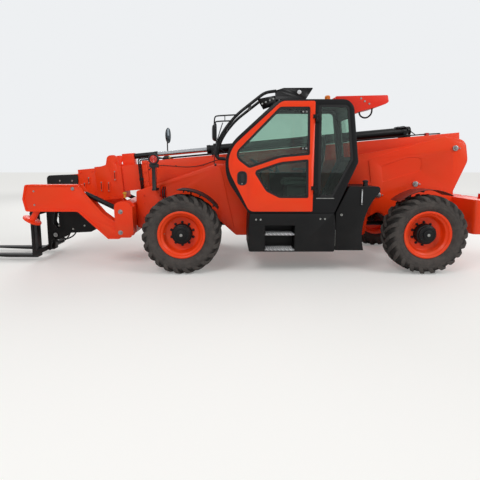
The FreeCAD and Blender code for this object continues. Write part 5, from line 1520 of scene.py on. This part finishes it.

# Engine side: a border round the grille, a screen behind it, and latches
hood = {
    "outerY": 1.150, "grilleX": (0.980, 1.890), "grilleZ": (0.748, 1.108),
    "latches": (1.000, 2.600), "latchZ": 0.655,
}


def makeHoodDetails():
    x0, x1 = (behind(value) for value in hood["grilleX"])
    z0, z1 = hood["grilleZ"]
    y = hood["outerY"]
    border = ringMesh("border", roundedLoop([(x0 - 0.030, z0 - 0.022, 0.03), (x1 + 0.030, z0 - 0.022, 0.03),
                                             (x1 + 0.030, z1 + 0.022, 0.03), (x0 - 0.030, z1 + 0.022, 0.03)]),
                      roundedLoop([(x0 - 0.012, z0 - 0.004, 0.015), (x1 + 0.012, z0 - 0.004, 0.015),
                                   (x1 + 0.012, z1 + 0.004, 0.015), (x0 - 0.012, z1 + 0.004, 0.015)]),
                      y - 0.004, y - 0.0001)
    screen = blockMesh("screen", (x0 - 0.004, y - 0.040, z0 - 0.004), (x1 + 0.004, y - 0.030, z1 + 0.004),
                       0.002)
    addPiece("grille_border", border, "hood", "orange")
    addPiece("grille_screen", screen, "hood", "moulded")
    latches = []
    for x in hood["latches"]:
        for kind, half, tall in (("bezel", 0.034, 0.022), ("paddle", 0.026, 0.013)):
            corners = [(behind(x) - half, hood["latchZ"] - tall, 0.01),
                       (behind(x) + half, hood["latchZ"] - tall, 0.01),
                       (behind(x) + half, hood["latchZ"] + tall, 0.01),
                       (behind(x) - half, hood["latchZ"] + tall, 0.01)]
            depth = 0.006 if kind == "bezel" else 0.003
            latches.append(plateMesh(kind, corners, y - depth - 0.002, y - 0.0002 - depth * 0.3, 0.0015))
    addPiece("hood_latches", joinedMesh("latches", latches), "hood", "moulded")


makeHoodDetails()
print("engine side made")


# Inside the cab: a suspension seat with simulated pads, the steering wheel, console and dash
inside = {
    "floor": 0.955,
    "seatBase": {"x": (1.560, 1.960), "y": (-0.960, -0.570), "top": 1.2995},
    "folds": 6, "foldStep": 0.034,
    "console": {"x": (1.350, 2.150), "y": (-0.529, -0.431), "top": 1.480},
    "switches": 6,
    "dash": {"x": (1.025, 1.150), "y": (-0.900, -0.640), "top": 1.180},
    "wheelCentre": (1.190, -0.765, 1.600), "wheelLean": 28, "wheelRadius": 0.185, "grip": 0.0145,
    "joystick": (1.470, -0.480, 1.474),
}


def makeSeatBase():
    floor = inside["floor"]
    (x0, x1), (y0, y1) = inside["seatBase"]["x"], inside["seatBase"]["y"]
    top = inside["seatBase"]["top"]
    x0, x1 = behind(x0), behind(x1)
    foot = blockMesh("foot", (x0, y0, floor), (x1, y1, floor + 0.060), 0.008)
    pan = blockMesh("pan", (x0, y0, top - 0.050), (x1, y1, top), 0.012, 3)
    fold = plateMesh("fold", [(x0 + 0.012, y0 + 0.012, 0.04), (x1 - 0.012, y0 + 0.012, 0.04),
                              (x1 - 0.012, y1 - 0.012, 0.04), (x0 + 0.012, y1 - 0.012, 0.04)],
                     0.0, inside["foldStep"] + 0.001, 0.013, "XY", 3)
    bellows = repeated("bellows", repeats["line"], fold, {
        "Count": inside["folds"], "Start": (0, 0, floor + 0.062),
        "Step": (0, 0, inside["foldStep"])}, "hose")
    rail = blockMesh("backRail", (behind(1.934), -0.900, 1.255), (behind(1.973), -0.630, 1.414), 0.006)
    piece = addPiece("seat_suspension", joinedMesh("seatBase", [foot, pan, rail]), "chassis",
                     "moulded")
    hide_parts("cab_controls")
    addPiece("seat_bellows", bellows, "chassis")


makeSeatBase()


def makeConsole():
    console = inside["console"]
    (x0, x1), (y0, y1), top = console["x"], console["y"], console["top"]
    side = [(behind(x), z, radius) for x, z, radius in (
        (x0, inside["floor"], 0.02), (x0, 1.380, 0.08), (x0 + 0.110, top, 0.10), (x1, top, 0.03),
        (x1, inside["floor"], 0.02))]
    body = plateMesh("console", side, y0, y1, 0.008, segments=3)
    pad = blockMesh("armrest", (behind(1.700), y0 + 0.006, top + 0.035),
                    (behind(2.000), y1 - 0.006, top + 0.075), 0.016, 4)
    post = tubeMesh("post", ((behind(1.900), -0.480, top - 0.01), (behind(1.900), -0.480, top + 0.02),
                             (behind(1.900), -0.480, top + 0.04)), 0.016, 12)
    addPiece("side_console", joinedMesh("console", [body, pad, post]), "chassis",
             "moulded")
    rocker = blockMesh("rocker", (-0.011, -0.018, -0.002), (0.011, 0.018, 0.006), 0.003)
    switches = repeated("switches", repeats["line"], rocker, {
        "Count": inside["switches"], "Start": (behind(1.540), -0.480, top), "Step": (0.026, 0, 0)},
        "greyMoulding")
    addPiece("console_switches", switches, "chassis")
    x, y, z = inside["joystick"]
    boot = turnedMesh("boot", ((0, 0.070), (0.010, 0.068), (0.018, 0.060), (0.015, 0.054),
                               (0.025, 0.044), (0.021, 0.038), (0.032, 0.026), (0.028, 0.020),
                               (0.040, 0.008), (0.042, 0.0), (0, 0.0)), (behind(x), y, z), upward, 32)
    grip = turnedMesh("grip", ((0, 0.190), (0.014, 0.188), (0.022, 0.178), (0.024, 0.160),
                               (0.019, 0.140), (0.017, 0.115), (0.020, 0.090), (0.018, 0.066),
                               (0, 0.064)), (behind(x), y, z), (-0.12, 0, 1), 32)
    addPiece("joystick", joinedMesh("joystick", [boot, grip]), "chassis", "moulded")


makeConsole()


def makeDash():
    dash = inside["dash"]
    (x0, x1), (y0, y1), top = dash["x"], dash["y"], dash["top"]
    stand = plateMesh("stand", [(behind(x), z, radius) for x, z, radius in (
        (x0, inside["floor"], 0.01), (x0, top, 0.03), (x0 + 0.010, 1.320, 0.03),
        (x0 + 0.060, 1.385, 0.02), (x1, 1.300, 0.02), (x1, inside["floor"], 0.02))], y0, y1, 0.01,
        segments=3)
    middle = (y0 + y1) / 2
    points = [(behind(x), middle, z) for x, z in ((1.098, 1.300), (1.118, 1.400), (1.182, 1.580))]
    column = tubeMesh("column", points, 0.032, 20)
    stalks = [tubeMesh("stalk", ((behind(1.150), middle, 1.500),
                                 (behind(1.140), middle + way * 0.080, 1.505),
                                 (behind(1.150), middle + way * 0.150, 1.520)), 0.0065, 8)
              for way in (-1, 1)]
    pedals = []
    for y in (-0.955, -0.585):
        low, high = inside["floor"] + 0.045, inside["floor"] + 0.150
        pedals.append(plateMesh("pedal", ((y - 0.032, low, 0.01), (y + 0.032, low, 0.01),
                                          (y + 0.032, high, 0.01), (y - 0.032, high, 0.01)),
                                behind(1.005), behind(1.015), 0.003, "YZ"))
        pedals.append(tubeMesh("pedalArm", ((behind(1.006), y, high - 0.03),
                                            (behind(0.985), y, low + 0.03),
                                            (behind(1.010), y, inside["floor"] - 0.002)), 0.008, 10))
    addPiece("dash_and_column", joinedMesh("dash", [stand, column] + stalks + pedals), "chassis",
             "moulded")
    faces = [turnedMesh("dial", ((0, 0.004), (0.030, 0.004), (0.036, 0.006), (0.038, 0.0), (0, 0.0)),
                        (behind(1.122), middle + shift, 1.335), (0.64, 0, 0.77), 40)
             for shift in (-0.085, 0.085)]
    addPiece("dash_dials", joinedMesh("dials", faces), "chassis", "clearLens")


makeDash()


def makeSteeringWheel():
    x, y, z = inside["wheelCentre"]
    centre, lean = (behind(x), y, z), math.radians(inside["wheelLean"])
    aim = (math.sin(lean), 0, math.cos(lean))
    radius, grip = inside["wheelRadius"], inside["grip"]
    circle = [(radius + grip * math.cos(step * math.pi / 8), grip * math.sin(step * math.pi / 8))
              for step in range(16)]
    parts = [turnedMesh("wheelRim", circle, centre, aim, 72, 60)]
    parts.append(turnedMesh("boss", ((0, 0.006), (0.030, 0.004), (0.042, -0.004), (0.045, -0.020),
                                     (0.036, -0.050), (0, -0.052)), centre, aim, 40))
    for turn in (90, 210, 330):
        angle = math.radians(turn)
        ends = [placed((reach * math.cos(angle), reach * math.sin(angle), drop), centre, aim)
                for reach, drop in ((0.030, -0.022), (0.110, -0.018), (radius, 0.0))]
        parts.append(tubeMesh("spoke", ends, 0.010, 12))
    knob = placed((radius * math.cos(2.2), radius * math.sin(2.2), grip * 0.6), centre, aim)
    parts.append(turnedMesh("knob", ((0, 0.058), (0.014, 0.056), (0.021, 0.046), (0.022, 0.030),
                                     (0.012, 0.016), (0.009, 0.0), (0, 0.0)), knob, aim, 28))
    addPiece("steering_wheel", joinedMesh("steeringWheel", parts), "chassis", "moulded")


makeSteeringWheel()

# Seat pads: foam under vinyl, blown up as cloth from a shape a little smaller than the pad
pads = {
    "voxel": 0.006, "pressure": 4.0, "frames": 20, "reach": 0.020,
    "seam": 0.0045, "seamWidth": 0.006,
    "cushion": {"corners": ((1.492, -0.978, 0.06), (1.912, -0.978, 0.05), (1.912, -0.552, 0.05),
                            (1.492, -0.552, 0.06)), "z": (1.3005, 1.386)},
    "back": {"corners": ((-0.968, 1.438, 0.05), (-0.562, 1.438, 0.05), (-0.560, 1.760, 0.25),
                         (-0.630, 2.030, 0.09), (-0.900, 2.030, 0.09), (-0.970, 1.760, 0.25)),
             "x": (1.964, 2.022), "shell": 0.024, "lean": 0.155, "foot": 1.415},
    "middleY": -0.765, "seamY": 0.125,
}


def leanedMesh(mesh):  # the seat's back leans backwards from its foot
    back = pads["back"]
    for point in mesh.vertices:
        point.co.x += (point.co.z - back["foot"]) * back["lean"]
    return mesh


def inflatedPad(name, mesh, isHeld):
    # Pressure inside the cloth crowns the pad. No point moves further than the reach
    holder = scratchObject(name, mesh)
    even = holder.modifiers.new("even", "REMESH")
    even.mode = "VOXEL"
    even.voxel_size = pads["voxel"]
    shape = bakedMesh(holder, name)
    starts = [point.co.copy() for point in shape.vertices]
    holder = scratchObject(name, shape)
    held = holder.vertex_groups.new(name="held")
    held.add([point.index for point in shape.vertices if isHeld(point.co)], 1.0, "REPLACE")
    cloth = holder.modifiers.new("foam", "CLOTH")
    cloth.settings.vertex_group_mass = "held"
    cloth.settings.use_pressure = True
    cloth.settings.uniform_pressure_force = pads["pressure"]
    cloth.settings.effector_weights.gravity = 0
    for frameNumber in range(1, pads["frames"] + 1):
        bpy.context.scene.frame_set(frameNumber)
    shape = bakedMesh(holder, name)
    bpy.context.scene.frame_set(1)
    for point, start in zip(shape.vertices, starts):
        move = point.co - start
        if move.length > pads["reach"]:
            point.co = start + move.normalized() * pads["reach"]
    holder = scratchObject(name, shape)
    finer = holder.modifiers.new("finer", "SUBSURF")
    finer.levels = finer.render_levels = 1
    shape = bakedMesh(holder, name)
    for face in shape.polygons:
        face.use_smooth = True
    return shape


def sewnPad(mesh, isFace):  # two sewn lines pull the pad in on its face
    normals = [point.normal.copy() for point in mesh.vertices]
    for point, normal in zip(mesh.vertices, normals):
        away = abs(abs(point.co.y - pads["middleY"]) - pads["seamY"])
        if away < 3 * pads["seamWidth"] and isFace(point.co):
            point.co -= normal * pads["seam"] * math.exp(-(away / pads["seamWidth"]) ** 2)
    return mesh


def pipingMesh(name, mesh, points):  # a welt laid on the pad through the points nearest to these
    tree = BVHTree.FromPolygons([point.co for point in mesh.vertices],
                                [face.vertices for face in mesh.polygons])
    spots = [tree.find_nearest(point)[0] for point in points]
    return tubeMesh(name, spots + [spots[0]], 0.0042, 10)


def makeSeatPads():
    cushion, back = pads["cushion"], pads["back"]
    low, high = cushion["z"]
    outline = [(behind(x), y, radius) for x, y, radius in cushion["corners"]]
    start = plateMesh("cushion", outline, low, high, 0.018, "XY", 3)
    mesh = sewnPad(inflatedPad("cushion", start, lambda spot: spot.z < low + 0.004),
                   lambda spot: spot.z > low + 0.03)
    piping = pipingMesh("cushionPiping", mesh, [Vector((spot.x, spot.y, high)) for spot in
                                                roundedLoop(outline, 5)])
    piece = addPiece("seat_cushion_pad", mesh, "chassis", "vinyl")
    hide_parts("seat_cushion")
    near, far = (behind(value) for value in back["x"])
    start = leanedMesh(plateMesh("back", back["corners"], near, far, 0.016, "YZ", 3))
    reach = back["lean"]
    mesh = sewnPad(inflatedPad("back", start, lambda spot: spot.x - (spot.z - back["foot"]) * reach
                               > far - 0.005), lambda spot: spot.x - (spot.z - back["foot"]) * reach
                   < far - 0.02)
    outline = [Vector((near + (spot.y - back["foot"]) * reach, spot.x, spot.y))
               for spot in roundedLoop(back["corners"], 5)]
    backPiping = pipingMesh("backPiping", mesh, outline)
    piece = addPiece("seat_back_pad", mesh, "chassis", "vinyl")
    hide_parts("seat_back")
    shellOutline = [(y - 0.014 if y < pads["middleY"] else y + 0.014,
                     z - 0.014 if z < 1.5 else z + 0.012, radius) for y, z, radius in back["corners"]]
    shell = leanedMesh(plateMesh("shell", shellOutline, far - 0.001, far + back["shell"], 0.008, "YZ"))
    addPiece("seat_back_shell", shell, "chassis", "moulded")
    addPiece("seat_piping", joinedMesh("piping", [piping, backPiping]), "chassis", "seal")


makeSeatPads()
print("cab inside made")

# The extension rod's black sleeve, the plate over the ram and the flanges of the stabiliser arms
more = {
    "sleeve": (-0.148, 0.249), "sleeveRadius": 0.052,  # from the mouth of the boom's outer section
    "platePlace": (3.527, 3.717),
    "arm": ((-1.185, 0.456, 0.02), (-1.002, 0.456, 0.05), (-0.897, 0.600, 0.06),
            (-1.034, 0.699, 0.06), (-1.251, 0.861, 0.06), (-1.497, 1.148, 0.06),
            (-1.605, 1.302, 0.04), (-2.430, 1.302, 0.04), (-2.480, 1.080, 0.06),
            (-2.440, 0.886, 0.04), (-1.640, 0.886, 0.09)),
    "flange": 0.026, "flangeProud": 0.009,
    "tankEdge": (2.262, 0.411, 0.652),
    "fillerCap": (-1.000, -0.430, 1.130),
}


def makeSleeve():
    radius = more["sleeveRadius"]
    low, high = more["sleeve"]
    profile = ((0.0402, low), (radius - 0.006, low), (radius - 0.004, high - 0.060),
               (radius, high - 0.058), (radius, high - 0.004), (radius - 0.004, high), (0.0402, high))
    sleeve = turnedMesh("sleeve", profile, (0, 0, 0), (1, 0, 0), 40)
    sleeve.transform(Matrix.Rotation(-boomLine["slope"], 4, "Y"))
    addPiece("extension_rod_sleeve", moved(sleeve, onMouth(0, 0, 0.355)),
             frame["nodes"]["extension_rod"]["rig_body"], "black")


makeSleeve()


def makeStayFlanges():
    loop = roundedLoop([(behind(x), z, radius) for x, z, radius in more["arm"]], 8)
    for label, side in (("left", -1), ("right", 1)):
        rims = []
        for out in (-1, 1):
            y = side * stay["y"] + out * stay["half"]
            low, high = sorted((y - out * 0.0005, y + out * more["flangeProud"]))
            rims.append(ringMesh("flange", shrunkLoop(loop, 0.0008), shrunkLoop(loop, more["flange"]),
                                 low, high))
        addPiece("stay_flanges_" + label, joinedMesh("flanges", rims), "stabiliser_%s_arm" % label,
                 "orange")


makeStayFlanges()

x0, x1 = (behind(value) for value in more["platePlace"])
ramTop = onBoom(-0.800, 0, 0.355)[2] + 0.072
cover = blockMesh("cover", (x0, -0.075, ramTop - 0.004), (x1, 0.075, ramTop + 0.018), 0.006)
addPiece("ram_cover_plate", cover, "boom", "greyMoulding")

x, low, high = more["tankEdge"]
edge = tubeMesh("tankEdge", [(behind(px), py, pz) for px, py, pz in (
    (x + 0.010, -1.060, high + 0.006), (x, -1.088, high), (x - 0.002, -1.088, (low + high) / 2),
    (x, -1.088, low), (x + 0.010, -1.060, low - 0.006))], 0.006, 10)
addPiece("tank_edge_rail", edge, "chassis", "zinc")

x, y, z = more["fillerCap"]
cap = turnedMesh("fillerCap", ((0, 0.030), (0.020, 0.030), (0.030, 0.024), (0.032, 0.006),
                               (0.026, 0.0), (0.018, -0.002), (0.018, -0.060), (0, -0.060)),
                 (behind(x), y, z), upward, 32)
addPiece("nose_filler_cap", cap, "chassis", "yellowCap")

# Covers of the wear pads on the cheeks of the inner sections, each held by two bolts
padCovers = {
    "boom_two": {"half": 0.212, "size": (0.030, 0.085), "slot": (0.010, 0.050),
                 "places": ((-0.716, -0.100), (-0.595, -0.118), (-0.470, 0.060))},
    "boom_three": {"half": 0.182, "size": (0.028, 0.060), "slot": (0.009, 0.030),
                   "places": ((-0.925, 0.020), (-1.010, -0.070))},
}


def makePadCovers():
    for body, cover in padCovers.items():
        plates, slots, spots = [], [], []
        for side in (-1, 1):
            for ahead, rise in cover["places"]:
                x, y, z = onMouth(ahead, side * cover["half"], rise)
                for meshes, (wide, tall), deep in ((plates, cover["size"], 0.013),
                                                   (slots, cover["slot"], 0.0145)):
                    low, high = sorted((y - side * 0.001, y + side * deep))
                    corners = [(x + dx * wide, z + dz * tall, wide * 0.6)
                               for dx, dz in ((-1, -1), (1, -1), (1, 1), (-1, 1))]
                    meshes.append(plateMesh("padCover", corners, low, high, 0.003))
                for way in (-1, 1):
                    spots.append(((x, y + side * 0.0145, z + way * (cover["size"][1] - 0.018)),
                                  (0, side, 0)))
        addPiece("pad_covers_" + body, joinedMesh("padCovers", plates), body, "orange")
        # The slots in the pad covers take the dark red of painted shade in a recess
        addPiece("pad_slots_" + body, joinedMesh("padSlots", slots), body, "paintedShadeRed")
        addFasteners("pad_cover_bolts_" + body, body, "zinc", 0.0075, 0.006, spots)


makePadCovers()

# The front mudguards: a round bead along both edges, and rubber stubs under them
guards = {"radius": 0.660, "bead": 0.011, "half": 0.160, "spread": (38, 92), "stubs": (42, 64, 86)}


def makeGuardBeads():
    for label, side in (("left", -1), ("right", 1)):
        meshes = []
        low, high = guards["spread"]
        for shift in (-guards["half"], guards["half"]):
            run = []
            for step in range(13):
                turn = math.radians(low + (high - low) * step / 12)
                run.append((axle["front"] + guards["radius"] * math.cos(turn),
                            side * axle["wheelY"] + shift,
                            axle["height"] + guards["radius"] * math.sin(turn)))
            meshes.append(tubeMesh("bead", run, guards["bead"], 12))
        for angle in guards["stubs"]:
            turn = math.radians(angle)
            ends = [(axle["front"] + radius * math.cos(turn), side * (axle["wheelY"] + 0.140),
                     axle["height"] + radius * math.sin(turn)) for radius in (0.655, 0.640, 0.622)]
            meshes.append(tubeMesh("stub", ends, 0.010, 12))
        addPiece("mudguard_beads_" + label, joinedMesh("beads", meshes), "steer_front_" + label,
                 "black")


makeGuardBeads()
print("last fittings made")
